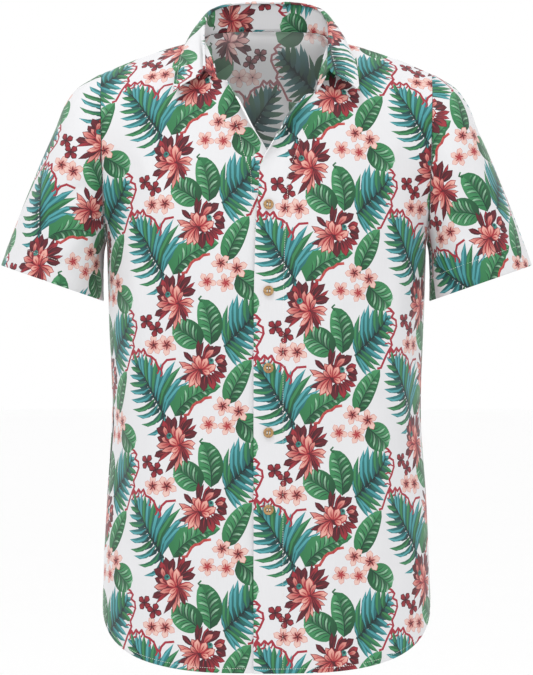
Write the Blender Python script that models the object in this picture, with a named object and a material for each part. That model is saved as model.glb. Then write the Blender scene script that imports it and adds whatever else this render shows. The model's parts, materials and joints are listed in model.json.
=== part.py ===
"""Short-sleeved shirt with a curved tail hem, in the shape it takes when it is worn.

Nobody is inside: every cut piece is a thin wall of cloth on the form of the body, and the neck,
the hem and both cuffs are open. Sizes in the tables are millimetres; the built part is in metres.
+X is the wearer's left, the front faces -Y, and the origin is the middle of the neck hole.
"""
import math

import bmesh
import bpy
from mathutils import Matrix, Vector
from mathutils.bvhtree import BVHTree

MM = 0.001

# ---- driving sizes, millimetres
CLOTH = 1.2               # wall of every piece of cloth
SEAM = 0.3                # clear gap between two pieces that are sewn together
SQUARE = 2.3              # how square the rings of the body are (2 is an ellipse)
HEM_MIDDLE = -711.0       # height of the hem at the middle
HEM_SIDE = -626.0         # height of the hem at the side seams
HEM_CORNER = 3.1          # how tight the corner of the tail is
UNDERARM = -227.0         # height of the underarm point
ARM_TOP = -32.0           # height of the shoulder point
ARM_DEPTH = {"front": 58.0, "back": 62.0}
LAP_EDGE = -14.5          # where the front edge runs, past the middle
UNDERLAP = 3.4            # how far the under front lies behind the upper one
LEAN = 8.0                # the wearer's left end of the collar stand sits lower by this
STAND_AT = 120.0          # armhole angle of the row that meets the end of the stand
SHOULDER_T = 0.5          # place of the shoulder seam along the collar
SHOULDER_RISE = 4.0       # bow of the shoulder line
LEAF_ROLL = 3.0           # height of the fold of the collar above the stand
LEAF_OUT = 5.0            # how far the fold carries the leaf out from the stand
SETTLE = 14               # rounds of easing that let the chest and shoulders run smoothly

BUTTON_WIDTH = 11.5
BUTTON_THICK = 2.4
BUTTON_DISH = 0.6
BUTTON_HOLE = 1.9
BUTTON_PITCH = 3.0        # between the middles of neighbouring holes
BUTTON_X = 2.2
BUTTON_HEIGHTS = (-187.5, -284.0, -370.0, -442.0, -528.0)

# height, half width, front depth, back depth, side seam
BODY = (
    (-711.0, 188.5, -122.0, 118.0, -2.0),
    (-630.0, 188.0, -123.5, 117.0, -2.0),
    (-520.0, 183.5, -124.0, 113.0, -1.0),
    (-410.0, 177.5, -124.0, 109.0, 0.0),
    (-320.0, 181.0, -127.0, 114.0, 2.0),
    (-227.0, 184.0, -127.6, 122.0, 4.0),
)

# armhole angle, x, y, z of the front edge, turn of the row, straightness, turned width, roll
FRONT_EDGE = (
    (0.0, -8.5, -127.2, -227.0, 90.0, 0.00, 6.0, 0.0),
    (30.0, -8.0, -121.0, -182.0, 74.0, 0.00, 6.0, 0.0),
    (48.0, -4.5, -115.0, -153.0, 66.0, 0.00, 6.0, 12.0),
    (62.0, 5.0, -108.0, -130.0, 62.0, 0.04, 6.5, 60.0),
    (75.0, 15.0, -101.0, -103.0, 60.0, 0.10, 8.0, 120.0),
    (90.0, 27.0, -93.0, -79.0, 58.0, 0.20, 8.5, 135.0),
    (105.0, 41.0, -84.5, -62.5, 56.0, 0.35, 6.5, 105.0),
    (120.0, 55.0, -76.0, -51.5, 55.0, 0.50, 3.0, 0.0),
)
# the same for the rows that end on the neck seam
NECK_ROWS = (
    (120.0, 55.0, 0.50),
    (140.0, 55.0, 0.75),
    (160.0, 55.0, 0.92),
    (180.0, 55.0, 1.00),
)
# armhole angle, x, y, z of the middle of the back, turn of the row, straightness
BACK_EDGE = (
    (0.0, 0.0, 122.0, -227.0, 90.0, 0.00),
    (45.0, 0.0, 120.0, -168.0, 72.0, 0.00),
    (90.0, 0.0, 111.0, -102.0, 62.0, 0.10),
    (135.0, 0.0, 91.0, -34.0, 58.0, 0.45),
    (180.0, 0.0, 62.0, 21.0, 55.0, 1.00),
)
# along the sleeve, x and z of its top line, x and z of its under line, half depth, middle depth
SLEEVE = (
    (0.00, 190.3, -32.0, 184.3, -227.0, 60.0, 6.0),
    (0.16, 223.0, -54.5, 186.6, -238.0, 66.0, 5.0),
    (0.34, 243.0, -97.0, 187.2, -251.0, 67.0, 4.0),
    (0.56, 265.0, -148.0, 187.6, -267.0, 65.0, 3.0),
    (0.80, 290.0, -211.0, 187.6, -283.0, 62.5, 2.0),
    (1.00, 305.0, -253.0, 187.2, -294.0, 61.5, 2.0),
)
# along the collar from the middle of the back, x, y, z
NECK = (
    (0.00, 0.0, 62.0, 21.0),
    (0.18, 38.0, 57.0, 20.0),
    (0.34, 62.0, 38.0, 16.0),
    (0.50, 72.0, 10.0, 8.0),
    (0.67, 68.0, -22.0, -3.0),
    (0.84, 61.5, -50.0, -22.0),
    (1.00, 55.0, -76.0, -51.5),
)
ROLL = (
    (0.00, 0.0, 57.0, 53.0),
    (0.18, 38.0, 52.0, 51.0),
    (0.34, 61.0, 36.0, 43.0),
    (0.50, 70.0, 10.0, 29.0),
    (0.67, 71.5, -20.0, 9.0),
    (0.84, 70.0, -52.0, -12.0),
    (1.00, 69.0, -80.0, -34.0),
)
FALL = (
    (0.00, 0.0, 77.0, 12.0),
    (0.18, 45.0, 71.0, 10.0),
    (0.34, 77.0, 46.0, 7.0),
    (0.50, 89.0, 12.0, 9.0),
    (0.67, 98.0, -30.0, -11.0),
    (0.84, 103.0, -60.0, -31.0),
    (1.00, 105.0, -90.0, -58.5),
)

# ---- how finely each piece is faceted
FRONT_COLUMNS = 11
BACK_HALF = 12            # columns of half the back
BACK_NECK = 5             # of which this many lie under the collar
LOW_ROWS = 10
OPEN_ROWS = (14, 28, 42, 54, 64, 76, 90, 104, 113)
NECK_SEAM_ROWS = (120, 128, 136, 145, 154, 163, 172, 180)
SLEEVE_RINGS = (0.0, 0.06, 0.13, 0.22, 0.34, 0.48, 0.64, 0.82, 1.0)
SLEEVE_SIDES = 26
LEAF_PATH = (0.0, 0.10, 0.22, 0.36, 0.66, 1.0)
LEAF_ROWS = (0.0, 0.10, 0.16, 0.22, 0.29, 0.36, 0.50, 0.66, 0.84, 1.0)


# ---- curves -----------------------------------------------------------------------------

def at(table, key):
    """Smooth curve through the rows of a table; its first column is the key."""
    key = min(max(key, table[0][0]), table[-1][0])
    i = next(k for k in range(1, len(table)) if key <= table[k][0]) - 1
    low, high = table[i], table[i + 1]
    width = high[0] - low[0]
    t = (key - low[0]) / width
    blend = (2*t**3 - 3*t**2 + 1, t**3 - 2*t**2 + t, 3*t**2 - 2*t**3, t**3 - t**2)
    return [blend[0]*low[c] + blend[1]*width*slope(table, i, c)
            + blend[2]*high[c] + blend[3]*width*slope(table, i + 1, c)
            for c in range(1, len(low))]


def slope(table, i, column):
    """Slope of one column at row i, from the rows on both sides of it."""
    before, here, after = table[max(i - 1, 0)], table[i], table[min(i + 1, len(table) - 1)]
    if before is here or after is here:
        return (after[column] - before[column]) / (after[0] - before[0])
    left, right = here[0] - before[0], after[0] - here[0]
    return ((here[column] - before[column]) / left * right
            + (after[column] - here[column]) / right * left) / (left + right)


def mix(a, b, t):
    return a + (b - a) * t


def ease(t):
    t = min(max(t, 0.0), 1.0)
    return t * t * (3 - 2 * t)


def bow(value):
    """Sine or cosine of a ring, squared off."""
    return math.copysign(abs(value) ** (2 / SQUARE), value)


def unbow(value):
    return math.asin(math.copysign(min(abs(value), 1.0) ** (SQUARE / 2), value))


# ---- the body ---------------------------------------------------------------------------

def lower_point(x_edge, u, share, face):
    """Point of a panel below the underarm: share runs from the hem to the underarm."""
    half = 186.0
    for _ in range(4):
        start = unbow(x_edge / half)
        turn = mix(start, math.pi / 2, u)
        reach = min(abs(bow(math.sin(turn))), 1.0)
        hem = mix(HEM_SIDE, HEM_MIDDLE, (1 - reach ** HEM_CORNER) ** (1 / HEM_CORNER))
        z = mix(hem, UNDERARM, share)
        half, front, back, side = at(BODY, z)
    depth = front if face == "front" else back
    return Vector((half * bow(math.sin(turn)), mix(side, depth, bow(math.cos(turn))), z))


def armhole(angle, face):
    """Point of the armhole seam: 0 degrees is the underarm, 180 the shoulder point."""
    bend = math.radians(angle)
    z = mix(UNDERARM, ARM_TOP, (1 - math.cos(bend)) / 2)
    x = mix(184.0, 190.0, (z - UNDERARM) / (ARM_TOP - UNDERARM))
    middle = mix(4.0, 8.0, (z - UNDERARM) / (ARM_TOP - UNDERARM))
    way = -1 if face == "front" else 1
    return Vector((x, middle + way * ARM_DEPTH[face] * math.sin(bend), z))


def upper_point(edge, arm, u, turn, straight):
    """Point of a row that runs from an edge point to an armhole point."""
    end = math.radians(turn)
    start = unbow(edge.x / arm.x * bow(math.sin(end)))
    phi = mix(start, end, u)
    side = ((bow(math.sin(phi)) - bow(math.sin(start)))
            / (bow(math.sin(end)) - bow(math.sin(start))))
    depth = ((bow(math.cos(start)) - bow(math.cos(phi)))
             / (bow(math.cos(start)) - bow(math.cos(end))))
    side, depth = mix(side, u, straight), mix(depth, u, straight)
    rise = SHOULDER_RISE * straight * 4 * side * (1 - side)
    return Vector((mix(edge.x, arm.x, side), mix(edge.y, arm.y, depth),
                   mix(edge.z, arm.z, side) + rise))


def row_t(angle):
    """Place along the collar of a row of the front that ends on the neck seam."""
    return mix(1.0, SHOULDER_T, (angle - STAND_AT) / (180 - STAND_AT))


def lean(hand, share):
    return Vector((0, 0, -hand * LEAN * ease(share)))


def front_base(u, angle, hand):
    """Point of a front above the underarm, without its turned edge."""
    arm = armhole(angle, "front")
    if angle <= STAND_AT:
        x, y, z, turn, straight, _, _ = at(FRONT_EDGE, angle)
        edge = Vector((x, y, z)) + lean(hand, (angle - 62) / (STAND_AT - 62))
    else:
        turn, straight = at(NECK_ROWS, angle)
        edge = neck_point(row_t(angle), hand)
    if angle >= STAND_AT:
        edge += (arm - edge).normalized() * 3.0
    return upper_point(edge, arm, u, turn, straight)


def front_point(u, row, hand):
    """Point of a front: a negative u is its turned edge, a row below zero is under the arm."""
    if row < 0:
        if u < 0:
            return lower_point(LAP_EDGE + 6 * (1 + u), 0.0, 1 + row, "front")
        return lower_point(LAP_EDGE + 6, u, 1 + row, "front")
    if u >= 0:
        return front_base(u, row, hand)
    edge, near = front_base(0.0, row, hand), front_base(0.03, row, hand)
    if row >= STAND_AT:
        return edge.lerp(neck_point(row_t(row), hand), -u)
    away = (edge - near).normalized()
    along = front_base(0.0, row + 1, hand) - front_base(0.0, row - 1 if row > 1 else row, hand)
    out = away.cross(along).normalized()
    out = out if out.y < 0 else -out
    width, roll = at(FRONT_EDGE, row)[5:]
    if hand < 0:
        roll *= ease((row - 56) / 16)
    first, last = math.radians(roll * 0.6), math.radians(roll)
    bent = edge + (away * math.cos(first) + out * math.sin(first)) * width * min(-u, 0.5)
    if -u <= 0.5:
        return bent
    return bent + (away * math.cos(last) + out * math.sin(last)) * width * (-u - 0.5)


def back_point(u, row):
    """Point of the wearer's left half of the back; u is 0 at the middle and 1 at the side."""
    if row < 0:
        return lower_point(0.0, u, 1 + row, "back")
    x, y, z, turn, straight = at(BACK_EDGE, row)
    point = upper_point(Vector((x, y, z)), armhole(row, "back"), u, turn, straight)
    top = upper_point(Vector(at(BACK_EDGE, 180)[:3]), armhole(180, "back"), u, 55.0, 1.0)
    return point + (back_top(u) - top) * ease((row - 60) / 120)


def back_top(u):
    """Top edge of the back: half the neck seam, then the shoulder seam."""
    neck = BACK_NECK / BACK_HALF
    if u <= neck:
        return neck_point(SHOULDER_T * u / neck, 1)
    return upper_point(neck_point(SHOULDER_T, 1), armhole(180, "back"), (u - neck) / (1 - neck),
                       55.0, 1.0)


def sleeve_point(along, bend):
    """Point of the wearer's left sleeve; bend is 0 at the underarm and pi on top."""
    top_x, top_z, under_x, under_z, half_depth, middle = at(SLEEVE, along)
    top, under = Vector((top_x, 0, top_z)), Vector((under_x, 0, under_z))
    point = under.lerp(top, (1 - math.cos(bend)) / 2)
    point.y = middle - half_depth * math.sin(bend)
    if along == 0:
        face = "front" if math.sin(bend) > 0 else "back"
        point.y = armhole(math.degrees(abs(bend)), face).y
    return point


# ---- the collar -------------------------------------------------------------------------

def mirrored(table):
    """A table of the wearer's left half, carried round to the right half."""
    return tuple((-t, -x, y, z) for t, x, y, z in table[:0:-1]) + tuple(table)


def neck_point(t, hand):
    """Point of the neck seam; hand is the side the end of the stand belongs to."""
    point = Vector(at(mirrored(NECK), abs(t)))
    return point + lean(hand, (abs(t) - SHOULDER_T) / (1 - SHOULDER_T))


def collar_frame(t):
    """Seam point, roll point, way up and way out at one place of the collar."""
    hand = 1 if t >= 0 else -1
    flip = Vector((hand, 1, 1))
    seam = neck_point(t, hand) * flip
    roll = Vector(at(mirrored(ROLL), t))
    step = Vector(at(mirrored(ROLL), t + 0.01)) - Vector(at(mirrored(ROLL), t - 0.01))
    up = (roll - seam).normalized()
    out = up.cross(step).normalized()
    return seam, roll, up, out


def stand_point(t, height):
    seam, roll, up, out = collar_frame(t)
    return (seam + up * SEAM).lerp(roll, height) + out * 1.0 * math.sin(math.pi * height)


def leaf_point(t, fall):
    """Point of the collar leaf: up from the stand, over the roll and down to its free edge."""
    _, roll, up, out = collar_frame(t)
    free = Vector(at(mirrored(FALL), t))
    start = roll + up * SEAM - out * CLOTH
    riser = start + up * LEAF_ROLL * 0.5
    crest = roll + up * LEAF_ROLL + out * LEAF_OUT * 0.3
    over = roll + out * LEAF_OUT + up * 0.5
    middle = over.lerp(free, 0.5) + (up + out) * 1.5
    path = (start, riser, crest, over, middle, free)
    return Vector(at([(k, *point) for k, point in zip(LEAF_PATH, path)], fall))


# ---- walls of cloth ---------------------------------------------------------------------

def normals(grid, closed):
    """Unit normal at every point of a grid of points, from its neighbours."""
    rows, columns = len(grid), len(grid[0])
    found = []
    for r in range(rows):
        line = []
        for c in range(columns):
            down, up = grid[max(r - 1, 0)][c], grid[min(r + 1, rows - 1)][c]
            if closed:
                left, right = grid[r][c - 1], grid[r][(c + 1) % columns]
            else:
                left, right = grid[r][max(c - 1, 0)], grid[r][min(c + 1, columns - 1)]
            line.append((right - left).cross(up - down).normalized())
        found.append(line)
    return found


def wall(name, grid, inward, colour, closed=False, fix=None):
    """Closed thin solid: the grid is its outer face, inward the sign of the way in."""
    rows, columns = len(grid), len(grid[0])
    ways = normals(grid, closed)
    mesh = bmesh.new()
    layers = []
    for layer in (0, 1):
        layers.append([[mesh.verts.new((grid[r][c] + step(ways, r, c, inward, fix) * layer) * MM)
                        for c in range(columns)] for r in range(rows)])
    spans = [(c, (c + 1) % columns) for c in range(columns if closed else columns - 1)]
    for layer in layers:
        for r in range(rows - 1):
            for c, d in spans:
                mesh.faces.new((layer[r][c], layer[r][d], layer[r + 1][d], layer[r + 1][c]))
    outer, inner = layers
    for r in (0, rows - 1):
        for c, d in spans:
            mesh.faces.new((outer[r][c], outer[r][d], inner[r][d], inner[r][c]))
    if not closed:
        for c in (0, columns - 1):
            for r in range(rows - 1):
                mesh.faces.new((outer[r][c], outer[r + 1][c], inner[r + 1][c], inner[r][c]))
    bmesh.ops.recalc_face_normals(mesh, faces=mesh.faces)
    return add(name, mesh, colour, 0.75, sharp=40)


def step(ways, r, c, inward, fix):
    """Way through the wall at one point, kept on its own side of a seam."""
    way = ways[r][c] * inward
    if fix:
        way = fix(r, c, way.copy())
    return way.normalized() * CLOTH


def add(name, mesh, colour, roughness, sharp=30):
    """Turn a bmesh into a named, shaded object with a material of its own."""
    if mesh.calc_volume(signed=True) < 0:
        bmesh.ops.reverse_faces(mesh, faces=mesh.faces)
    bmesh.ops.triangulate(mesh, faces=mesh.faces)
    data = bpy.data.meshes.new(name)
    mesh.to_mesh(data)
    mesh.free()
    item = bpy.data.objects.new(name, data)
    bpy.context.scene.collection.objects.link(item)
    for face in data.polygons:
        face.use_smooth = True
    data.set_sharp_from_angle(angle=math.radians(sharp))
    material = bpy.data.materials.new(name + "_finish")
    material.use_nodes = True
    shader = material.node_tree.nodes["Principled BSDF"]
    shader.inputs["Base Color"].default_value = (*colour, 1)
    shader.inputs["Roughness"].default_value = roughness
    shader.inputs["Metallic"].default_value = 0.0
    data.materials.append(material)
    return item


# ---- the pieces -------------------------------------------------------------------------

def panel_rows():
    """Rows of a panel: below zero under the arm, then the angle round the armhole."""
    return [k / LOW_ROWS - 1 for k in range(LOW_ROWS)] + [0.0, *OPEN_ROWS, *NECK_SEAM_ROWS]


def collar_steps():
    """Places along the collar that meet the columns of the back and the rows of the fronts."""
    half = [SHOULDER_T * k / BACK_NECK for k in range(BACK_NECK)]
    half += [row_t(angle) for angle in reversed(NECK_SEAM_ROWS)]
    return [-t for t in half[:0:-1]] + half


def settle(grid, low, first, last):
    """Ease the free points of a panel towards their neighbours; its seams stay put.

    Free columns run from low below the neck opening and from first beside it, up to last.
    """
    for _ in range(SETTLE):
        for r in range(LOW_ROWS - 4, len(grid) - 1):
            high = r > LOW_ROWS + 3
            for c in range(first if high else low, last):
                calm = (grid[r - 1][c] + grid[r + 1][c]) / 2
                if high:
                    calm = calm.lerp((grid[r][c - 1] + grid[r][c + 1]) / 2, 0.35)
                grid[r][c] = grid[r][c].lerp(calm, 0.4)


def seam_fix(last_column, top_row, underarm_row, hand):
    """At a seam the wall goes straight through, so that it stays on its own side."""
    def fix(r, c, way):
        if r == top_row:
            way.y = 0
        if c in last_column:
            if r <= underarm_row:
                way.y = 0
            if r >= underarm_row:
                sign = hand if hand else (1 if c else -1)
                way.x = sign * min(way.x * sign, 0)
        return way
    return fix


def under_shift(point, hand):
    """The wearer's right front lies behind the left one where they lap."""
    if hand > 0:
        return Vector()
    near, low = 1 - ease((point.x - 25) / 50), 1 - ease((point.z + 125) / 40)
    return Vector((0, UNDERLAP * near * low, 0))


def build_front(name, hand):
    rows = panel_rows()
    columns = [-1.0, -0.5] + [k / FRONT_COLUMNS for k in range(FRONT_COLUMNS + 1)]
    grid = [[front_point(u, row, hand) for u in columns] for row in rows]
    settle(grid, 0, 3, len(columns) - 1)
    for line in grid:
        for c, point in enumerate(line):
            point = point + Vector((0, -SEAM / 2, 0)) + under_shift(point, hand)
            line[c] = point * Vector((hand, 1, 1))
    fix = seam_fix((len(columns) - 1,), len(rows) - 1, LOW_ROWS, hand)
    return wall(name, grid, -hand, (0.86, 0.87, 0.85), fix=fix)


def build_back():
    rows = panel_rows()
    grid = []
    for row in rows:
        line = []
        for k in range(-BACK_HALF, BACK_HALF + 1):
            point = back_point(abs(k) / BACK_HALF, row) + Vector((0, SEAM / 2, 0))
            line.append(point * Vector((1 if k >= 0 else -1, 1, 1)))
        grid.append(line)
    settle(grid, 1, 1, 2 * BACK_HALF)
    fix = seam_fix((0, 2 * BACK_HALF), len(rows) - 1, LOW_ROWS, 0)
    return wall("back", grid, 1, (0.84, 0.85, 0.84), fix=fix)


def build_sleeve(name, hand):
    def fix(r, c, way):
        if r == 0:
            way.x = hand * max(way.x * hand, 0)
        return way
    grid = []
    for along in SLEEVE_RINGS:
        ring = [sleeve_point(along, math.pi * (2 * k / SLEEVE_SIDES - 1) + 1e-9)
                for k in range(SLEEVE_SIDES)]
        grid.append([point * Vector((hand, 1, 1)) for point in ring])
    return wall(name, grid, hand, (0.85, 0.86, 0.86), closed=True, fix=fix)


def build_collar():
    steps = collar_steps()
    stand = [[stand_point(t, h) for t in steps] for h in (0.0, 0.35, 0.7, 1.0)]
    wall("collar_stand", stand, 1, (0.83, 0.86, 0.85))
    ups = [collar_frame(t)[2] for t in steps]

    def fix(r, c, way):
        return way - ups[c] * way.dot(ups[c]) if r == 0 else way
    leaf = [[leaf_point(t, fall) for t in steps] for fall in LEAF_ROWS]
    wall("collar_leaf", leaf, -1, (0.87, 0.88, 0.86), fix=fix)


# ---- the buttons ------------------------------------------------------------------------

def find_front(front, x, z):
    """Point of the upper front at a given width and height, and its way out."""
    shape = BVHTree.FromPolygons([v.co for v in front.data.vertices],
                                 [f.vertices for f in front.data.polygons])
    place, out, _, _ = shape.ray_cast(Vector((x * MM, -1, z * MM)), Vector((0, 1, 0)))
    return place, out


def turned(profile, sides):
    """Solid of revolution about Z from (radius, height) pairs that start and end at radius 0."""
    mesh = bmesh.new()
    rings = []
    for radius, height in profile:
        if radius == 0:
            rings.append([mesh.verts.new((0, 0, height * MM))])
            continue
        rings.append([mesh.verts.new((radius * MM * math.cos(a), radius * MM * math.sin(a),
                                      height * MM))
                      for a in (2 * math.pi * k / sides for k in range(sides))])
    for low, high in zip(rings, rings[1:]):
        for k in range(sides):
            j = (k + 1) % sides
            corners = [low[k % len(low)], low[j % len(low)], high[j % len(high)],
                       high[k % len(high)]]
            mesh.faces.new(list(dict.fromkeys(corners)))
    bmesh.ops.recalc_face_normals(mesh, faces=mesh.faces)
    return mesh


def build_button(name, front, x, z):
    """Four-hole shirt button with a dished face, lying on the upper front."""
    radius, thick, dish = BUTTON_WIDTH / 2, BUTTON_THICK, BUTTON_DISH
    profile = ((0, 0), (radius * 0.72, 0), (radius, thick * 0.5), (radius * 0.88, thick),
               (radius * 0.70, thick), (radius * 0.58, thick - dish), (0, thick - dish))
    button = add(name, turned(profile, 20), (0.55, 0.38, 0.21), 0.4)
    drills = []
    for k in range(4):
        drill = add("drill", turned(((0, -1), (BUTTON_HOLE / 2, -1), (BUTTON_HOLE / 2, 4),
                                     (0, 4)), 8), (0, 0, 0), 0.5)
        angle = math.pi / 4 + k * math.pi / 2
        reach = BUTTON_PITCH / math.sqrt(2) * MM
        drill.data.transform(Matrix.Translation((reach * math.cos(angle),
                                                 reach * math.sin(angle), 0)))
        drills.append(drill)
    for drill in drills:
        cut = button.modifiers.new("hole", "BOOLEAN")
        cut.operation, cut.solver, cut.object = "DIFFERENCE", "EXACT", drill
    graph = bpy.context.evaluated_depsgraph_get()
    pierced = bpy.data.meshes.new_from_object(button.evaluated_get(graph))
    button.modifiers.clear()
    button.data = pierced
    for drill in drills:
        bpy.data.objects.remove(drill)
    place, out = find_front(front, x, z)
    turn = Vector((0, 0, 1)).rotation_difference(out).to_matrix().to_4x4()
    pierced.transform(Matrix.Translation(place + out * SEAM * MM) @ turn)
    return button


def main():
    for item in list(bpy.data.objects):
        bpy.data.objects.remove(item)
    upper_front = build_front("front_left", 1)
    build_front("front_right", -1)
    build_back()
    build_sleeve("sleeve_left", 1)
    build_sleeve("sleeve_right", -1)
    build_collar()
    for number, height in enumerate(BUTTON_HEIGHTS, 1):
        build_button(f"button_{number}", upper_front, BUTTON_X, height)


main()
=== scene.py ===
# %% [markdown]
# # A printed holiday shirt, worn by nobody
# This lesson dresses a plain model of a short-sleeved shirt. The model that is loaded first holds
# the exact size and place of every cut piece. The steps below make the cloth that is seen: thin
# printed sheets with hems, seams and folds, then the stitches, the buttons and the light.

# %% Load the frame
import json
import math
import time

import bmesh
import bpy
import numpy as np
from mathutils import Matrix, Vector
from mathutils.bvhtree import BVHTree
from mathutils.geometry import delaunay_2d_cdt

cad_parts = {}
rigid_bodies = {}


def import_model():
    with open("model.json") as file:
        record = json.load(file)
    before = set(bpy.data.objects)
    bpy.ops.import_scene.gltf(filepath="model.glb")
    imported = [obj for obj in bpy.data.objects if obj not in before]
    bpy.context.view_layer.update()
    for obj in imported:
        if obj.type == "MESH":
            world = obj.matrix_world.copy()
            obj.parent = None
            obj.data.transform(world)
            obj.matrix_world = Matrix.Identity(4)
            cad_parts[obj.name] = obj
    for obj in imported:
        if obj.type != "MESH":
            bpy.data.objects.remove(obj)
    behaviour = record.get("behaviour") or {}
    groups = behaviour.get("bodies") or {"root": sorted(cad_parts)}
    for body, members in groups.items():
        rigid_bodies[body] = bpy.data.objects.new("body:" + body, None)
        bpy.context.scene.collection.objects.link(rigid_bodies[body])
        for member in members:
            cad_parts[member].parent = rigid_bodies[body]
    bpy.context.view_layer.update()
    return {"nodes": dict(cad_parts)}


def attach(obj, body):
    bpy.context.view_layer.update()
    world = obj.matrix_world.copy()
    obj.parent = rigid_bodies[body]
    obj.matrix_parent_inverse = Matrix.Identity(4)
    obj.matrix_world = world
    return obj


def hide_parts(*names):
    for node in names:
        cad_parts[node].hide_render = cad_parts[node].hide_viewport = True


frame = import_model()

START = time.time()
MM = 0.001
print("nodes:", sorted(frame["nodes"]))

# %% [markdown]
# ## Curves through tables
# A dressmaker's block is a table of sizes at a few heights. A smooth curve through such a table
# gives the size at any height between them, so a whole front needs only a few dozen numbers. The
# sizes are millimetres, and the origin is the middle of the neck hole.

# %% Curves
def at(table, key):
    """Smooth curve through the rows of a table; its first column is the key."""
    key = min(max(key, table[0][0]), table[-1][0])
    i = next(k for k in range(1, len(table)) if key <= table[k][0]) - 1
    low, high = table[i], table[i + 1]
    width = high[0] - low[0]
    start, lead, end, trail = cubic((key - low[0]) / width)
    return [start*low[c] + lead*width*slope(table, i, c)
            + end*high[c] + trail*width*slope(table, i + 1, c) for c in range(1, len(low))]


def cubic(t):
    """Shares of the start, its slope, the end and its slope, part way between two points."""
    return 2*t**3 - 3*t**2 + 1, t**3 - 2*t**2 + t, 3*t**2 - 2*t**3, t**3 - t**2


def slope(table, i, column):
    """Slope of one column at row i, from the rows on both sides of it."""
    before, here, after = table[max(i - 1, 0)], table[i], table[min(i + 1, len(table) - 1)]
    if before is here or after is here:
        return (after[column] - before[column]) / (after[0] - before[0])
    left, right = here[0] - before[0], after[0] - here[0]
    return ((here[column] - before[column]) / left * right
            + (after[column] - here[column]) / right * left) / (left + right)


def mix(a, b, t):
    return a + (b - a) * t


def ease(t):
    """Soft step: 0 below 0, 1 above 1, and level at both."""
    t = min(max(t, 0.0), 1.0)
    return t * t * (3 - 2 * t)

# %% [markdown]
# ## The body of the shirt
# Below the underarm the cloth hangs in squared-off ovals that reach from the front edge round to
# the side seam. Above it every row runs from the front edge, or the neck seam, out to the
# armhole, and the rows turn with the shoulder.

# %% Body sizes
SQUARE = 2.3                 # 2 would be a true oval, more is squarer
HEM_MIDDLE, HEM_SIDE, HEM_CORNER = -711.0, -626.0, 3.1
UNDERARM, ARM_TOP = -227.0, -32.0
ARM_X, ARM_Y = (184.0, 190.0), (4.0, 8.0)     # of the underarm and of the shoulder point
ARM_DEPTH = {"front": 58.0, "back": 62.0}
SHOULDER_RISE, NECK_BACKSET = 4.0, 3.0
LAP_EDGE, TURNED, UNDERLAP = -14.5, 6.0, 3.4  # front edge, its turned width, gap under the lap
LEAN, STAND_AT, SHOULDER_T = 8.0, 120.0, 0.5  # droop of the collar ends; where the neck starts
HALF_GUESS, GUESS_ROUNDS = 186.0, 4
BODY = (  # height, half width, front depth, back depth, side seam
    (-711.0, 188.5, -122.0, 118.0, -2.0), (-630.0, 188.0, -123.5, 117.0, -2.0),
    (-520.0, 183.5, -124.0, 113.0, -1.0), (-410.0, 177.5, -124.0, 109.0, 0.0),
    (-320.0, 181.0, -127.0, 114.0, 2.0), (-227.0, 184.0, -127.6, 122.0, 4.0))
FRONT_EDGE = (  # armhole angle, x, y, z of the edge, turn, straightness, turned width, roll
    (0.0, -8.5, -127.2, -227.0, 90.0, 0.00, 6.0, 0.0),
    (30.0, -8.0, -121.0, -182.0, 74.0, 0.00, 6.0, 0.0),
    (48.0, -4.5, -115.0, -153.0, 66.0, 0.00, 6.0, 12.0),
    (62.0, 5.0, -108.0, -130.0, 62.0, 0.04, 6.5, 60.0),
    (75.0, 15.0, -101.0, -103.0, 60.0, 0.10, 8.0, 120.0),
    (90.0, 27.0, -93.0, -79.0, 58.0, 0.20, 8.5, 135.0),
    (105.0, 41.0, -84.5, -62.5, 56.0, 0.35, 6.5, 105.0),
    (120.0, 55.0, -76.0, -51.5, 55.0, 0.50, 3.0, 0.0))
NECK_ROWS = ((120.0, 55.0, 0.50), (140.0, 55.0, 0.75), (160.0, 55.0, 0.92), (180.0, 55.0, 1.00))
BACK_EDGE = (  # armhole angle, x, y, z of the middle of the back, turn, straightness
    (0.0, 0.0, 122.0, -227.0, 90.0, 0.00), (45.0, 0.0, 120.0, -168.0, 72.0, 0.00),
    (90.0, 0.0, 111.0, -102.0, 62.0, 0.10), (135.0, 0.0, 91.0, -34.0, 58.0, 0.45),
    (180.0, 0.0, 62.0, 21.0, 55.0, 1.00))

# %% Body curves
def bow(value):
    """Sine or cosine of a ring, squared off."""
    return math.copysign(abs(value) ** (2 / SQUARE), value)


def unbow(value):
    return math.asin(math.copysign(min(abs(value), 1.0) ** (SQUARE / 2), value))


def lower_point(x_edge, u, share, face):
    """Point of a panel below the underarm: share runs from the hem to the underarm."""
    half = HALF_GUESS
    for _ in range(GUESS_ROUNDS):
        turn = mix(unbow(x_edge / half), math.pi / 2, u)
        reach = min(abs(bow(math.sin(turn))), 1.0)
        hem = mix(HEM_SIDE, HEM_MIDDLE, (1 - reach ** HEM_CORNER) ** (1 / HEM_CORNER))
        z = mix(hem, UNDERARM, share)
        half, front, back, side = at(BODY, z)
    depth = front if face == "front" else back
    return Vector((half * bow(math.sin(turn)), mix(side, depth, bow(math.cos(turn))), z))


def armhole(angle, face):
    """Point of the armhole seam: 0 degrees is the underarm, 180 the shoulder point."""
    bend = math.radians(angle)
    z = mix(UNDERARM, ARM_TOP, (1 - math.cos(bend)) / 2)
    rise = (z - UNDERARM) / (ARM_TOP - UNDERARM)
    way = -1 if face == "front" else 1
    return Vector((mix(*ARM_X, rise),
                   mix(*ARM_Y, rise) + way * ARM_DEPTH[face] * math.sin(bend), z))


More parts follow.
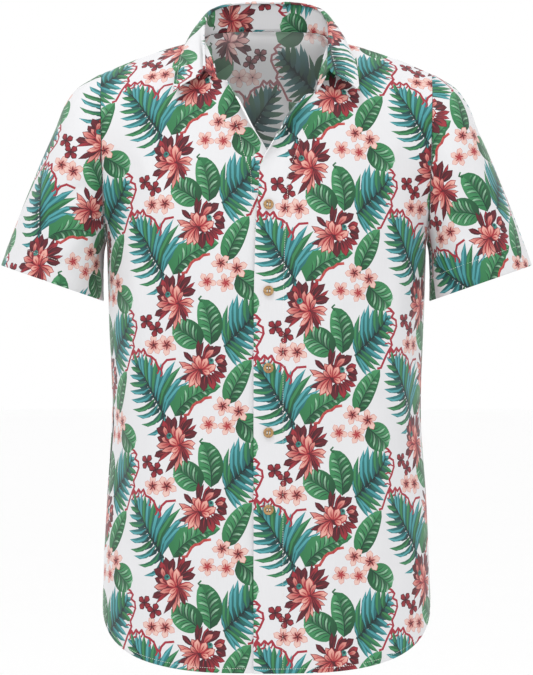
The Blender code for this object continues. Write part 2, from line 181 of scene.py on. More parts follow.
def upper_point(edge, arm, u, turn, straight):
    """Point of a row that runs from an edge point to an armhole point."""
    end = math.radians(turn)
    start = unbow(edge.x / arm.x * bow(math.sin(end)))
    phi = mix(start, end, u)
    side = ((bow(math.sin(phi)) - bow(math.sin(start)))
            / (bow(math.sin(end)) - bow(math.sin(start))))
    depth = ((bow(math.cos(start)) - bow(math.cos(phi)))
             / (bow(math.cos(start)) - bow(math.cos(end))))
    side, depth = mix(side, u, straight), mix(depth, u, straight)
    rise = SHOULDER_RISE * straight * 4 * side * (1 - side)
    return Vector((mix(edge.x, arm.x, side), mix(edge.y, arm.y, depth),
                   mix(edge.z, arm.z, side) + rise))

# %% [markdown]
# ## The collar and the neck
# The neck seam is one curve in space. A narrow upright band, the stand, rises from it, and the
# leaf folds over the top of the stand and falls to its free edge. Three tables say where the
# seam, the fold and the free edge run.

# %% Neck and collar
CLOTH, SEAM, LEAF_ROLL, LEAF_OUT = 1.2, 0.3, 3.0, 5.0   # wall, gap between walls, the fold
NECK = ((0.00, 0.0, 62.0, 21.0), (0.18, 38.0, 57.0, 20.0), (0.34, 62.0, 38.0, 16.0),
        (0.50, 72.0, 10.0, 8.0), (0.67, 68.0, -22.0, -3.0), (0.84, 61.5, -50.0, -22.0),
        (1.00, 55.0, -76.0, -51.5))
ROLL = ((0.00, 0.0, 57.0, 53.0), (0.18, 38.0, 52.0, 51.0), (0.34, 61.0, 36.0, 43.0),
        (0.50, 70.0, 10.0, 29.0), (0.67, 71.5, -20.0, 9.0), (0.84, 70.0, -52.0, -12.0),
        (1.00, 69.0, -80.0, -34.0))
FALL = ((0.00, 0.0, 77.0, 12.0), (0.18, 45.0, 71.0, 10.0), (0.34, 77.0, 46.0, 7.0),
        (0.50, 89.0, 12.0, 9.0), (0.67, 98.0, -30.0, -11.0), (0.84, 103.0, -60.0, -31.0),
        (1.00, 105.0, -90.0, -58.5))
LEAF_PATH = (0.0, 0.10, 0.22, 0.36, 0.66, 1.0)


def mirrored(table):
    """A table of the wearer's left half, carried round to the right half."""
    return tuple((-t, -x, y, z) for t, x, y, z in table[:0:-1]) + tuple(table)


def lean(hand, share):
    """The left front laps over and sits lower at the neck, the right one sits higher."""
    return Vector((0, 0, -hand * LEAN * ease(share)))


def neck_point(t, hand):
    """Point of the neck seam; hand is the side the end of the stand belongs to."""
    point = Vector(at(mirrored(NECK), abs(t)))
    return point + lean(hand, (abs(t) - SHOULDER_T) / (1 - SHOULDER_T))


def collar_frame(t):
    """Seam point, roll point, way up and way out at one place of the collar."""
    hand = 1 if t >= 0 else -1
    seam = neck_point(t, hand) * Vector((hand, 1, 1))
    roll = Vector(at(mirrored(ROLL), t))
    step = Vector(at(mirrored(ROLL), t + 0.01)) - Vector(at(mirrored(ROLL), t - 0.01))
    up = (roll - seam).normalized()
    return seam, roll, up, up.cross(step).normalized()


def stand_point(t, height):
    """Point of the stand: height is 0 at the neck seam and 1 at the fold."""
    seam, roll, up, out = collar_frame(t)
    return (seam + up * SEAM).lerp(roll, height) + out * 1.0 * math.sin(math.pi * height)


def leaf_point(t, fall):
    """Point of the collar leaf: up from the stand, over the roll and down to its free edge."""
    _, roll, up, out = collar_frame(t)
    free = Vector(at(mirrored(FALL), t))
    start = roll + up * SEAM - out * CLOTH
    over = roll + out * LEAF_OUT + up * 0.5
    path = (start, start + up * LEAF_ROLL * 0.5, roll + up * LEAF_ROLL + out * LEAF_OUT * 0.3,
            over, over.lerp(free, 0.5) + (up + out) * 1.5, free)
    return Vector(at([(k, *point) for k, point in zip(LEAF_PATH, path)], fall))

# %% [markdown]
# ## Fronts, back and sleeves as grids of points
# Each cut piece becomes a coarse net of points, a few fingers apart, on the worn shape. The
# free points are then eased towards their neighbours, as gravity does with cloth that hangs
# between its seams.

# %% Front and back points
FRONT_COLUMNS, BACK_HALF, BACK_NECK, LOW_ROWS = 11, 12, 5, 10
SETTLE_ROUNDS, CALM, SIDEWAYS = 14, 0.4, 0.35
OPEN_ROWS = (14, 28, 42, 54, 64, 76, 90, 104, 113)            # degrees round the armhole
NECK_SEAM_ROWS = (120, 128, 136, 145, 154, 163, 172, 180)


def row_t(angle):
    """Place along the collar of a row of the front that ends on the neck seam."""
    return mix(1.0, SHOULDER_T, (angle - STAND_AT) / (180 - STAND_AT))


def front_base(u, angle, hand):
    """Point of a front above the underarm, without its turned edge."""
    arm = armhole(angle, "front")
    if angle <= STAND_AT:
        x, y, z, turn, straight, _, _ = at(FRONT_EDGE, angle)
        edge = Vector((x, y, z)) + lean(hand, (angle - 62) / (STAND_AT - 62))
    else:
        turn, straight = at(NECK_ROWS, angle)
        edge = neck_point(row_t(angle), hand)
    if angle >= STAND_AT:
        edge += (arm - edge).normalized() * NECK_BACKSET
    return upper_point(edge, arm, u, turn, straight)


def front_point(u, row, hand):
    """Point of a front: a negative u is its turned edge, a row below zero is under the arm."""
    if row < 0:
        return lower_point(LAP_EDGE + TURNED * min(1 + u, 1), max(u, 0.0), 1 + row, "front")
    if u >= 0:
        return front_base(u, row, hand)
    edge, near = front_base(0.0, row, hand), front_base(0.03, row, hand)
    if row >= STAND_AT:
        return edge.lerp(neck_point(row_t(row), hand), -u)
    away = (edge - near).normalized()
    along = front_base(0.0, row + 1, hand) - front_base(0.0, row - 1 if row > 1 else row, hand)
    out = away.cross(along).normalized()
    out = out if out.y < 0 else -out
    width, roll = at(FRONT_EDGE, row)[5:]
    if hand < 0:
        roll *= ease((row - 56) / 16)
    first, last = math.radians(roll * 0.6), math.radians(roll)
    bent = edge + (away * math.cos(first) + out * math.sin(first)) * width * min(-u, 0.5)
    if -u <= 0.5:
        return bent
    return bent + (away * math.cos(last) + out * math.sin(last)) * width * (-u - 0.5)


def back_point(u, row):
    """Point of the wearer's left half of the back; u is 0 at the middle and 1 at the side."""
    if row < 0:
        return lower_point(0.0, u, 1 + row, "back")
    x, y, z, turn, straight = at(BACK_EDGE, row)
    point = upper_point(Vector((x, y, z)), armhole(row, "back"), u, turn, straight)
    top = upper_point(Vector(at(BACK_EDGE, 180)[:3]), armhole(180, "back"), u, 55.0, 1.0)
    return point + (back_top(u) - top) * ease((row - 60) / 120)


def back_top(u):
    """Top edge of the back: half the neck seam, then the shoulder seam."""
    neck = BACK_NECK / BACK_HALF
    if u <= neck:
        return neck_point(SHOULDER_T * u / neck, 1)
    return upper_point(neck_point(SHOULDER_T, 1), armhole(180, "back"), (u - neck) / (1 - neck),
                       55.0, 1.0)

# %% Sleeve points
SLEEVE = (  # along, x and z of the top line, x and z of the under line, half depth, middle
    (0.00, 190.3, -32.0, 184.3, -227.0, 60.0, 6.0),
    (0.16, 223.0, -54.5, 186.6, -238.0, 66.0, 5.0),
    (0.34, 243.0, -97.0, 187.2, -251.0, 67.0, 4.0),
    (0.56, 265.0, -148.0, 187.6, -267.0, 65.0, 3.0),
    (0.80, 290.0, -211.0, 187.6, -283.0, 62.5, 2.0),
    (1.00, 305.0, -253.0, 187.2, -294.0, 61.5, 2.0))
SLEEVE_RINGS = (0.0, 0.06, 0.13, 0.22, 0.34, 0.48, 0.64, 0.82, 1.0)
SLEEVE_SIDES = 26


def sleeve_point(along, bend):
    """Point of the wearer's left sleeve; bend is 0 at the underarm and pi on top."""
    top_x, top_z, under_x, under_z, half_depth, middle = at(SLEEVE, along)
    point = Vector((under_x, 0, under_z)).lerp(Vector((top_x, 0, top_z)),
                                               (1 - math.cos(bend)) / 2)
    point.y = middle - half_depth * math.sin(bend)
    if along == 0:
        face = "front" if math.sin(bend) > 0 else "back"
        turned = bend if bend <= math.pi else bend - 2 * math.pi
        point.y = armhole(math.degrees(abs(turned)), face).y
    return point

# %% Nets of the cut pieces
def panel_rows():
    """Rows of a panel: below zero under the arm, then the angle round the armhole."""
    return [k / LOW_ROWS - 1 for k in range(LOW_ROWS)] + [0.0, *OPEN_ROWS, *NECK_SEAM_ROWS]


def settle(grid, low, first, last):
    """Ease the free points of a panel towards their neighbours; its seams stay put."""
    for _ in range(SETTLE_ROUNDS):
        for r in range(LOW_ROWS - 4, len(grid) - 1):
            high = r > LOW_ROWS + 3
            for c in range(first if high else low, last):
                calm = (grid[r - 1][c] + grid[r + 1][c]) / 2
                if high:
                    calm = calm.lerp((grid[r][c - 1] + grid[r][c + 1]) / 2, SIDEWAYS)
                grid[r][c] = grid[r][c].lerp(calm, CALM)


def under_shift(point, hand):
    """The wearer's right front lies behind the left one where they lap."""
    if hand > 0:
        return Vector()
    near, low = 1 - ease((point.x - 25) / 50), 1 - ease((point.z + 125) / 40)
    return Vector((0, UNDERLAP * near * low, 0))


def front_net(hand):
    """Net of one front: hand is 1 for the wearer's left and -1 for the right."""
    columns = [-1.0, -0.5] + [k / FRONT_COLUMNS for k in range(FRONT_COLUMNS + 1)]
    grid = [[front_point(u, row, hand) for u in columns] for row in panel_rows()]
    settle(grid, 0, 3, len(columns) - 1)
    return np.array([[(p + Vector((0, -SEAM / 2, 0)) + under_shift(p, hand))
                      * Vector((hand, 1, 1)) for p in line] for line in grid])


def back_net():
    grid = [[(back_point(abs(k) / BACK_HALF, row) + Vector((0, SEAM / 2, 0)))
             * Vector((1 if k >= 0 else -1, 1, 1))
             for k in range(-BACK_HALF, BACK_HALF + 1)] for row in panel_rows()]
    settle(grid, 1, 1, 2 * BACK_HALF)
    return np.array(grid)


def sleeve_net(hand):
    """The sleeve is cut open along its underarm seam; a tiny turn keeps its two ends apart."""
    return np.array([[sleeve_point(along, 2 * math.pi * k / SLEEVE_SIDES + 1e-9)
                      * Vector((hand, 1, 1)) for k in range(SLEEVE_SIDES + 1)]
                     for along in SLEEVE_RINGS])


def collar_net(point_at, rows):
    """Net from one end of the collar, round the back of the neck, to the other."""
    steps = [k / COLLAR_HALF - 1 for k in range(2 * COLLAR_HALF + 1)]
    return np.array([[point_at(t, row) for t in steps] for row in rows])


COLLAR_HALF = 20
STAND_ROWS = (0.0, 0.35, 0.7, 1.0)
LEAF_ROWS = (0.0, 0.10, 0.16, 0.22, 0.29, 0.36, 0.50, 0.66, 0.84, 1.0)
nets = {"front_left": front_net(1), "front_right": front_net(-1), "back": back_net(),
        "sleeve_left": sleeve_net(1), "sleeve_right": sleeve_net(-1),
        "collar_stand": collar_net(stand_point, STAND_ROWS),
        "collar_leaf": collar_net(leaf_point, LEAF_ROWS)}
print("nets:", {name: net.shape[:2] for name, net in nets.items()})

# %% [markdown]
# ## A smooth surface through a net
# Cloth is smooth between the points of its net. A cubic curve through rows and columns gives
# that, and because it is only a weighted sum of sixteen points, all the points of a piece can
# be worked out together as one array.

# %% Smooth surface
def knots(net, axis):
    """Places of the rows or columns, spaced by the mean distance between them."""
    steps = np.linalg.norm(np.diff(net, axis=axis), axis=2).mean(axis=1 - axis)
    return np.concatenate([[0.0], np.cumsum(np.maximum(steps, 1e-6))])


def weights(knot, where):
    """For each place the four nearest rows, their weights and the weights of the slope."""
    last = len(knot) - 1
    i = np.clip(np.searchsorted(knot, where, side="right") - 1, 0, last - 1)
    rows = np.stack([np.clip(i + k, 0, last) for k in (-1, 0, 1, 2)], axis=1)
    a, b, c, d = (knot[rows[:, k]] for k in range(4))
    h = c - b
    t = (where - b) / h
    pace = ((6*t**2 - 6*t) / h, (3*t**2 - 4*t + 1) / h, (6*t - 6*t**2) / h, (3*t**2 - 2*t) / h)
    found = []
    for start, lead, end, trail in (cubic(t), pace):
        lead, trail = lead * h, trail * h
        first, final = b - a, d - c
        early = np.where(first > 0, h / np.maximum(first, 1e-9), 0) / np.maximum(first + h, 1e-9)
        late = np.where(final > 0, h / np.maximum(final, 1e-9), 0) / np.maximum(final + h, 1e-9)
        here = np.where(first > 0, first / (h * (first + h)), 1 / h)
        ahead = np.where(final > 0, final / (h * (final + h)), 1 / h)
        w = np.zeros((len(where), 4))
        w[:, 0] = -lead * early
        w[:, 1] = start + lead * (early - here) - trail * ahead
        w[:, 2] = end + lead * here + trail * (ahead - late)
        w[:, 3] = trail * late
        found.append(w)
    return rows, found[0], found[1]


def blend(net, rows, row_w, columns, column_w):
    """Weighted sum of the sixteen points of a net round each place."""
    total = np.zeros((len(rows), net.shape[2]))
    for i in range(4):
        for j in range(4):
            total += (row_w[:, i] * column_w[:, j])[:, None] * net[rows[:, i], columns[:, j]]
    return total

# %% [markdown]
# ## Laying each piece flat
# A printer prints on flat cloth, and a cutter cuts flat pieces out of it. To know where a flower
# falls on the worn shirt, each net is laid flat first: every edge and diagonal acts as a small
# spring that wants its worn length back, and after many rounds the net lies flat with almost no
# stretch. That flat shape is the cutting pattern, and it also gives the weave its direction.

# %% Flat pattern
SPRING_ROUNDS, SPRING_PULL = 1500, 0.3


def spin(turn):
    """Matrix that turns flat points, written as rows, through an angle."""
    return np.array([[math.cos(turn), -math.sin(turn)], [math.sin(turn), math.cos(turn)]]).T


def flatten(net, way_x, way_y, straight, from_height):
    """Flat place of every point of a net; the straight column is the grain line."""
    across = np.linalg.norm(np.diff(net, axis=1), axis=2)
    along = np.linalg.norm(np.diff(net, axis=0), axis=2)
    flat = np.zeros(net.shape[:2] + (2,))
    flat[:, 1:, 0] = np.cumsum(across, axis=1)
    flat[1:, :, 1] = np.cumsum(along, axis=0)
    flat[:, :, 0] -= flat[:, straight:straight + 1, 0]
    flat *= (way_x, way_y)
    if from_height:
        flat[:, :, 1] += net[0, :, 2]
    links = [(np.s_[:, :-1], np.s_[:, 1:]), (np.s_[:-1], np.s_[1:]),
             (np.s_[:-1, :-1], np.s_[1:, 1:]), (np.s_[1:, :-1], np.s_[:-1, 1:])]
    rest = [np.linalg.norm(net[b] - net[a], axis=2) for a, b in links]
    for _ in range(SPRING_ROUNDS):
        push = np.zeros_like(flat)
        for (a, b), want in zip(links, rest):
            gap = flat[b] - flat[a]
            length = np.linalg.norm(gap, axis=2)
            move = gap * ((length - want) / np.maximum(length, 1e-6))[..., None] * 0.5
            push[a] += move
            push[b] -= move
        flat += push * SPRING_PULL
    return flat


def unroll(flat, net, way_x):
    """Flat front with its turned edge, laid out square to the edge of the rest."""
    line = np.gradient(flat[:, 0], axis=0)
    line /= np.linalg.norm(line, axis=1, keepdims=True)
    away = np.stack([-line[:, 1], line[:, 0]], axis=1) * way_x
    wide = np.linalg.norm(np.diff(net[:, :3], axis=1), axis=2)
    first = flat[:, 0] + away * wide[:, 1:2]
    return np.concatenate([(first + away * wide[:, 0:1])[:, None], first[:, None], flat], axis=1)


def grain(flat, straight, low, high):
    """Turn and shift a flat piece so that its grain line stands upright at the origin."""
    line = flat[high, straight] - flat[low, straight]
    return (flat - flat[low, straight]) @ spin(math.pi / 2 - math.atan2(line[1], line[0]))


SHEETS = {  # way of flat x and y, grain column, rows of the grain line, starts from its height
    "front_left": (1, 1, 2, 0, LOW_ROWS, True), "front_right": (-1, 1, 2, 0, LOW_ROWS, True),
    "back": (-1, 1, BACK_HALF, 0, LOW_ROWS, True),
    "sleeve_left": (1, -1, SLEEVE_SIDES // 2, 8, 0, False),
    "sleeve_right": (-1, -1, SLEEVE_SIDES // 2, 8, 0, False),
    "collar_stand": (-1, -1, COLLAR_HALF, 3, 0, False),
    "collar_leaf": (-1, -1, COLLAR_HALF, 9, 0, False)}
sheets = {}
for name, (way_x, way_y, straight, low, high, from_height) in SHEETS.items():
    if name.startswith("front"):
        flat = unroll(flatten(nets[name][:, 2:], way_x, way_y, 0, from_height), nets[name], way_x)
    else:
        flat = flatten(nets[name], way_x, way_y, straight, from_height)
    sheets[name] = {"name": name, "net": nets[name], "out": way_x * way_y,
                    "flat": grain(flat, straight, low, high),
                    "rows": knots(nets[name], 0), "columns": knots(nets[name], 1)}
print(f"{time.time() - START:.1f} s")

# %% [markdown]
# ## Folds, hems and seams
# Woven cotton of this weight hangs nearly smooth, with a few long soft folds: from the chest and
# the shoulder blades down to the hem, from the underarm towards the front, and across each
# sleeve where the arm would bend. Each fold here is one line with its own height, width and bow;
# a negative height is a hollow.
# A hem is a double layer with a stitched valley, and a seam is a small dip between two pieces.

# %% Folds
FOLDS = {  # x, z of one end, x, z of the other, height, width, bow, front -1 or back 1
    "front_left": [
        (150, -230, 128, -400, 3.0, 16, 6, 0), (118, -420, 134, -700, 4.0, 20, -6, 0),
        (60, -480, 72, -715, 3.0, 24, 5, 0), (166, -250, 110, -190, -2.6, 12, 5, 0),
        (172, -300, 150, -560, -3.4, 14, 8, 0), (92, -300, 96, -560, -2.2, 22, -6, 0),
        (36, -560, 30, -715, -2.2, 18, 0, 0), (150, -110, 120, -215, 2.0, 14, -6, 0)],
    "front_right": [
        (-152, -235, -124, -380, 3.2, 15, -6, 0), (-128, -400, -140, -705, 4.2, 19, 7, 0),
        (-70, -430, -64, -715, 3.2, 26, -5, 0), (-168, -256, -116, -200, -2.8, 12, -5, 0),
        (-170, -330, -156, -600, -3.6, 15, -8, 0), (-100, -330, -96, -600, -2.4, 20, 6, 0),
        (-34, -520, -30, -715, 2.0, 20, 0, 0), (-148, -120, -122, -210, 2.2, 13, 6, 0)],
    "back": [
        (-120, -150, -96, -420, 3.4, 20, -8, 0), (116, -170, 100, -460, 3.0, 22, 7, 0),
        (-60, -330, -72, -712, 4.4, 24, 8, 0), (74, -300, 60, -712, 4.0, 22, -9, 0),
        (4, -240, -6, -560, -3.2, 26, 6, 0), (-140, -420, -150, -660, 3.6, 17, -5, 0),
        (142, -400, 148, -670, 3.8, 18, 5, 0), (-30, -60, 34, -96, -1.8, 16, 4, 0),
        (10, -480, 18, -712, 2.6, 20, 4, 0), (-106, -500, -104, -712, -3.0, 14, 0, 0),
        (108, -520, 106, -712, -3.0, 15, 0, 0)],
    "sleeve_left": [
        (196, -150, 256, -214, -3.2, 13, 6, -1), (206, -218, 268, -260, 2.4, 12, -5, -1),
        (222, -80, 262, -240, 2.2, 16, 5, -1), (198, -120, 240, -200, -3.0, 14, -6, 1),
        (214, -200, 280, -250, 2.6, 13, 6, 1), (232, -110, 276, -236, -2.0, 14, -4, 1)],
    "sleeve_right": [
        (-196, -160, -250, -206, -3.4, 12, -6, -1), (-208, -224, -274, -256, 2.2, 12, 5, -1),
        (-226, -86, -258, -246, 2.4, 15, -5, -1), (-198, -130, -244, -204, -2.8, 13, 6, 1),
        (-212, -206, -276, -250, 2.4, 12, -6, 1), (-236, -116, -272, -232, -2.2, 15, 4, 1)]}


def fold_height(name, place):
    """Height of the cloth above its plain form at each place of one piece."""
    total = np.zeros(len(place))
    for x0, z0, x1, z1, height, width, bowed, face in FOLDS.get(name, ()):
        run = np.array((x1 - x0, z1 - z0))
        length = math.hypot(*run)
        off = place[:, [0, 2]] - (x0, z0)
        t = off @ run / length**2
        aside = (run[0] * off[:, 1] - run[1] * off[:, 0]) / length
        t_in = np.clip(t, 0, 1)
        aside = (aside - bowed * 4 * t_in * (1 - t_in)) / (width * (0.75 + 0.5 * t_in))
        shape = (1 - 0.5 * aside**2) * np.exp(-aside**2) * np.sin(np.pi * t_in) ** 0.7
        side = np.clip(0.5 + face * (place[:, 1] - 4) / 40, 0, 1) if face else 1.0
        total += height * shape * side
    return total

# %% Edges
HEM, CUFF, BAND, UNDER_BAND, COLLAR_STITCH = 6.5, 27.0, 34.5, 27.5, 5.5   # turned widths
EDGES = {  # what each edge of a piece is: first row, last row, first column, last column
    "front_left": (("hem", HEM), ("seam", 0), ("band", BAND), ("seam", 0)),
    "front_right": (("hem", HEM), ("seam", 0), ("band", UNDER_BAND), ("seam", 0)),
    "back": (("hem", HEM), ("seam", 0), ("seam", 0), ("seam", 0)),
    "sleeve_left": (("seam", 0), ("hem", CUFF), ("seam", 0), ("seam", 0)),
    "sleeve_right": (("seam", 0), ("hem", CUFF), ("seam", 0), ("seam", 0)),
    "collar_stand": (("seam", 0), ("seam", 0), ("edge", 3.0), ("edge", 3.0)),
    "collar_leaf": (("none", 0), ("edge", COLLAR_STITCH), ("edge", COLLAR_STITCH),
                    ("edge", COLLAR_STITCH))}
THICK, THIN = {"collar_stand": 1.0, "collar_leaf": 1.1}, 0.45
SEAM_DIP, SEAM_REACH = 0.9, 1.8              # valley along a seam
TURN_RISE, TURN_THICK, TURN_EDGE = 0.3, 0.4, 0.45   # what a turned layer adds, and how sharply
STITCH_IN, STITCH_DIP, STITCH_REACH = 1.2, 0.35, 1.0   # valley of the stitches inside a hem
ROUND_DIP, ROUND_REACH = 0.5, 0.8            # rounding of a folded edge


def spread(sheet, key, r, c):
    """A net of a sheet, read at the places r down its rows and c along its columns."""
    rows, row_w, _ = weights(sheet["rows"], r)
    columns, column_w, _ = weights(sheet["columns"], c)
    return blend(sheet[key], rows, row_w, columns, column_w)


def edge_shape(sheet, r, c):
    """Height and thickness that hems, bands and seams add at each place."""
    flat = spread(sheet, "flat", r, c)
    rise = np.zeros(len(r))
    thick = np.full(len(r), THICK.get(sheet["name"], THIN))
    ends = ((np.full_like(r, 0), c), (np.full_like(r, sheet["rows"][-1]), c),
            (r, np.full_like(c, 0)), (r, np.full_like(c, sheet["columns"][-1])))
    for (kind, wide), (er, ec) in zip(EDGES[sheet["name"]], ends):
        if kind == "none":
            continue
        gap = np.linalg.norm(flat - spread(sheet, "flat", er, ec), axis=1)
        if kind == "seam":
            rise -= SEAM_DIP * np.exp(-(gap / SEAM_REACH) ** 2)
            continue
        if kind != "edge":
            inside = 1 / (1 + np.exp((gap - wide) / TURN_EDGE))
            rise += TURN_RISE * inside
            thick += TURN_THICK * inside
        rise -= STITCH_DIP * np.exp(-((gap - wide + STITCH_IN) / STITCH_REACH) ** 2)
        rise -= ROUND_DIP * np.exp(-(gap / ROUND_REACH) ** 2)
    return rise, thick, flat

# %% [markdown]
# ## The worn cloth at any place
# These functions answer the only question the rest of the lesson asks: where does this spot
# of the piece lie on the worn shirt, and which way does it face? The direction comes from two
# short steps along the cloth, so that even a very narrow triangle of the print shades smoothly.

# %% Worn place and direction
SHORT_STEP = 0.4


def form(sheet, r, c):
    """Place and way out on the smooth form, before folds and hems."""
    rows, row_w, row_d = weights(sheet["rows"], r)
    columns, column_w, column_d = weights(sheet["columns"], c)
    place = blend(sheet["net"], rows, row_w, columns, column_w)
    up = blend(sheet["net"], rows, row_d, columns, column_w)
    side = blend(sheet["net"], rows, row_w, columns, column_d)
    out = np.cross(side, up) * sheet["out"]
    return place, out / np.maximum(np.linalg.norm(out, axis=1, keepdims=True), 1e-9)


def worn(sheet, r, c):
    """Place on the worn cloth, its thickness and its flat place."""
    place, out = form(sheet, r, c)
    rise, thick, flat = edge_shape(sheet, r, c)
    return place + out * (fold_height(sheet["name"], place) + rise)[:, None], thick, flat


def facing(sheet, r, c):
    """Way out of the worn cloth, from two short steps along it."""
    r0, r1 = (np.clip(r + step, 0, sheet["rows"][-1]) for step in (-SHORT_STEP, SHORT_STEP))
    c0, c1 = (np.clip(c + step, 0, sheet["columns"][-1]) for step in (-SHORT_STEP, SHORT_STEP))
    up = worn(sheet, r1, c)[0] - worn(sheet, r0, c)[0]
    side = worn(sheet, r, c1)[0] - worn(sheet, r, c0)[0]
    out = np.cross(side, up) * sheet["out"]
    return out / np.maximum(np.linalg.norm(out, axis=1, keepdims=True), 1e-9)

# %% [markdown]
# ## Inks
# Screen printing lays a handful of flat inks beside each other, and the artist makes soft tones
# by letting one run into the next. Colours are picked as they look on a screen, so one function
# turns them into the linear light values that a renderer adds up.

# %% Inks
def ink(code):
    """Linear red, green and blue of a colour written as six hexadecimal digits."""
    parts = np.array([int(code[k:k + 2], 16) / 255 for k in (0, 2, 4)])
    return np.where(parts <= 0.04045, parts / 12.92, ((parts + 0.055) / 1.055) ** 2.4)


INKS = {name: ink(code) for name, code in {
    "ground": "D9D9DB", "teal": "2D8082", "aqua": "5CA8AF", "deep teal": "1B5053",
    "night": "0F2728", "green": "2A7044", "leaf": "438C5B", "moss": "17452C",
    "mint": "9CC7A8", "plum": "35121A", "wine": "651A25", "red": "A02A34",
    "coral": "C0594F", "salmon": "CF7D70", "blush": "E2AFA2", "rose": "D58F84",
    "pale": "DFBDB3", "jade": "4A9485", "line": "4A1720", "squiggle": "98283A"}.items()}
drawing = []   # outline, first tone, last tone, where the tone starts and ends, fine or not


def paint(outline, near, far=None, start=None, end=None, fine=False):
    """Lay one shape of ink on the repeat; a shape painted later covers an earlier one."""
    outline = np.asarray(outline, dtype=float)
    start = outline[0] if start is None else np.asarray(start, dtype=float)
    end = outline[len(outline) // 2] if end is None else np.asarray(end, dtype=float)
    area = np.cross(outline, np.roll(outline, -1, axis=0)).sum()
    drawing.append((outline if area > 0 else outline[::-1], INKS[near], INKS[far or near],
                    start, end, fine))

# %% [markdown]
# ## One shape for petals and leaflets
# A brush that is pressed down and lifted leaves a blade: pointed where it starts, wide in the
# middle, pointed or round where it ends. Petals, leaflets, leaves and their veins are all this
# blade, with another width, another bow and another place where it is fattest.

# %% Blades
def blade(root, tip, left, right=None, bowed=0.0, fattest=0.5, blunt=0.8, steps=4, wave=0.0):
    """Outline of a blade; left and right are its half widths, bowed bends its spine."""
    right = left if right is None else right
    root, tip = np.asarray(root, dtype=float), np.asarray(tip, dtype=float)
    run = tip - root
    length = max(math.hypot(*run), 1e-6)
    across = np.array((-run[1], run[0])) / length
    t = np.linspace(0, 1, steps + 1)
    spine = root + t[:, None] * run + (4 * t * (1 - t) * bowed * length)[:, None] * across
    lean_over = across - np.outer(4 * (1 - 2 * t) * bowed, run / length)
    half = np.sin(np.pi * t ** (math.log(0.5) / math.log(fattest))) ** blunt
    half *= 1 + wave * np.sin(t * 21)
    half[0] = half[-1] = 0
    upper = spine + lean_over * (half * left)[:, None]
    lower = spine - lean_over * (half * right)[:, None]
    return np.concatenate([lower, upper[-2:0:-1]])


def leaflet(root, tip, width, bowed, tone, dark):
    """Leaflet of a palm frond: a shaded blade, and a lit one along one side of it."""
    lit = "aqua" if tone == "teal" else "leaf"
    paint(blade(root, tip, width * 1.85, width * 1.7, bowed, 0.42, 0.55), dark, tone)
    paint(blade(root, tip, width * 1.5, -width * 0.1, bowed, 0.45, 0.6, 3), tone, lit, fine=True)


PETALS = {  # rim at the root and at the tip, inside at the root and at the tip, vein
    "d": ("plum", "line", "plum", "wine", "red", "wine"),
    "r": ("wine", "wine", "wine", "red", "plum", "plum"),
    "p": ("wine", "wine", "red", "rose", "red", "red"),
    "s": ("red", "red", "coral", "blush", "red", "red")}
FULLER, NARROW, SMALL = 1.22, 4.0, 5.5   # petal width factor; no vein below, fine ink below


def petal(root, tip, width, kind, bowed=0.0):
    """Petal with a darker rim, paler towards its tip, and one vein."""
    rim, rim_tip, deep, pale, vein, vein_tip = PETALS[kind]
    root, tip = np.asarray(root, dtype=float), np.asarray(tip, dtype=float)
    run, width = tip - root, width * FULLER
    paint(blade(root, tip, width / 2, None, bowed, 0.56, 0.55), rim, rim_tip)
    paint(blade(root + run * 0.08, root + run * 0.95, width * 0.36, None, bowed, 0.6, 0.6),
          deep, pale, fine=width < SMALL)
    if width > NARROW:
        paint(blade(root + run * 0.1, root + run * 0.72, width * 0.07, None, bowed, 0.4, 0.7, 3),
              vein, vein_tip, fine=True)

# %% [markdown]
# ## The water lilies
# The print has two open lilies, each a fan of long narrow petals on one side and a bowl of dark,
# curled petals on the other. Each petal is listed by its root and tip, back ones first, in
# millimetres from the joint of the flower.

# %% Lilies
LILY_A = (
    ((-10, 8), (-15, 33), 8, "d"), ((-7, 12), (-6, 32), 7, "d"), ((-2, 14), (1, 36), 3.4, "d"),
    ((-2, 16), (8, 33), 6, "r"), ((1, 11), (16, 30), 7, "d"), ((2, 12), (20, 23), 3.6, "r"),
    ((2, 9), (21, 14), 8, "d"), ((-12, 10), (-20, 28), 7, "r"), ((-13, 9), (-28, 19), 9, "d"),
    ((-13, 4), (-27, 9), 7, "d"), ((-10, 2), (-28, -1), 7.4, "p"),
    ((-14, -8), (-30, -13), 7, "d"), ((0, 0), (19, 2), 7.4, "s"), ((0, 0), (18, -5), 3.8, "p"),
    ((0, 0), (16, -11), 4.4, "p"), ((0, 0), (9, -21), 5.4, "d"), ((0, 0), (12, -17), 3, "r"),
    ((0, 0), (2, -24), 4.4, "s"), ((0, 0), (-6, -31), 5, "p"), ((0, 0), (-17, -31), 5.4, "d"),
    ((0, 0), (-26, -20), 4, "r"), ((-2, -2), (-22, -7), 6, "p"), ((0, -1), (-13, -18), 5, "s"),
    ((-12, 2), (-22, 8), 6, "p"), ((-9, 1), (-18, 14), 6.4, "r"), ((-14, 8), (-19, 21), 5, "p"))
CUP_A = (((-5, 6), (-8, 22), 5, "p"), ((-2, 0), (-2, 21), 9, "s"), ((-3, -1), (-14, 6), 8, "s"),
         ((-1, -1), (-11, -8), 6, "s"), ((0, 0), (6, 13), 5, "p"))
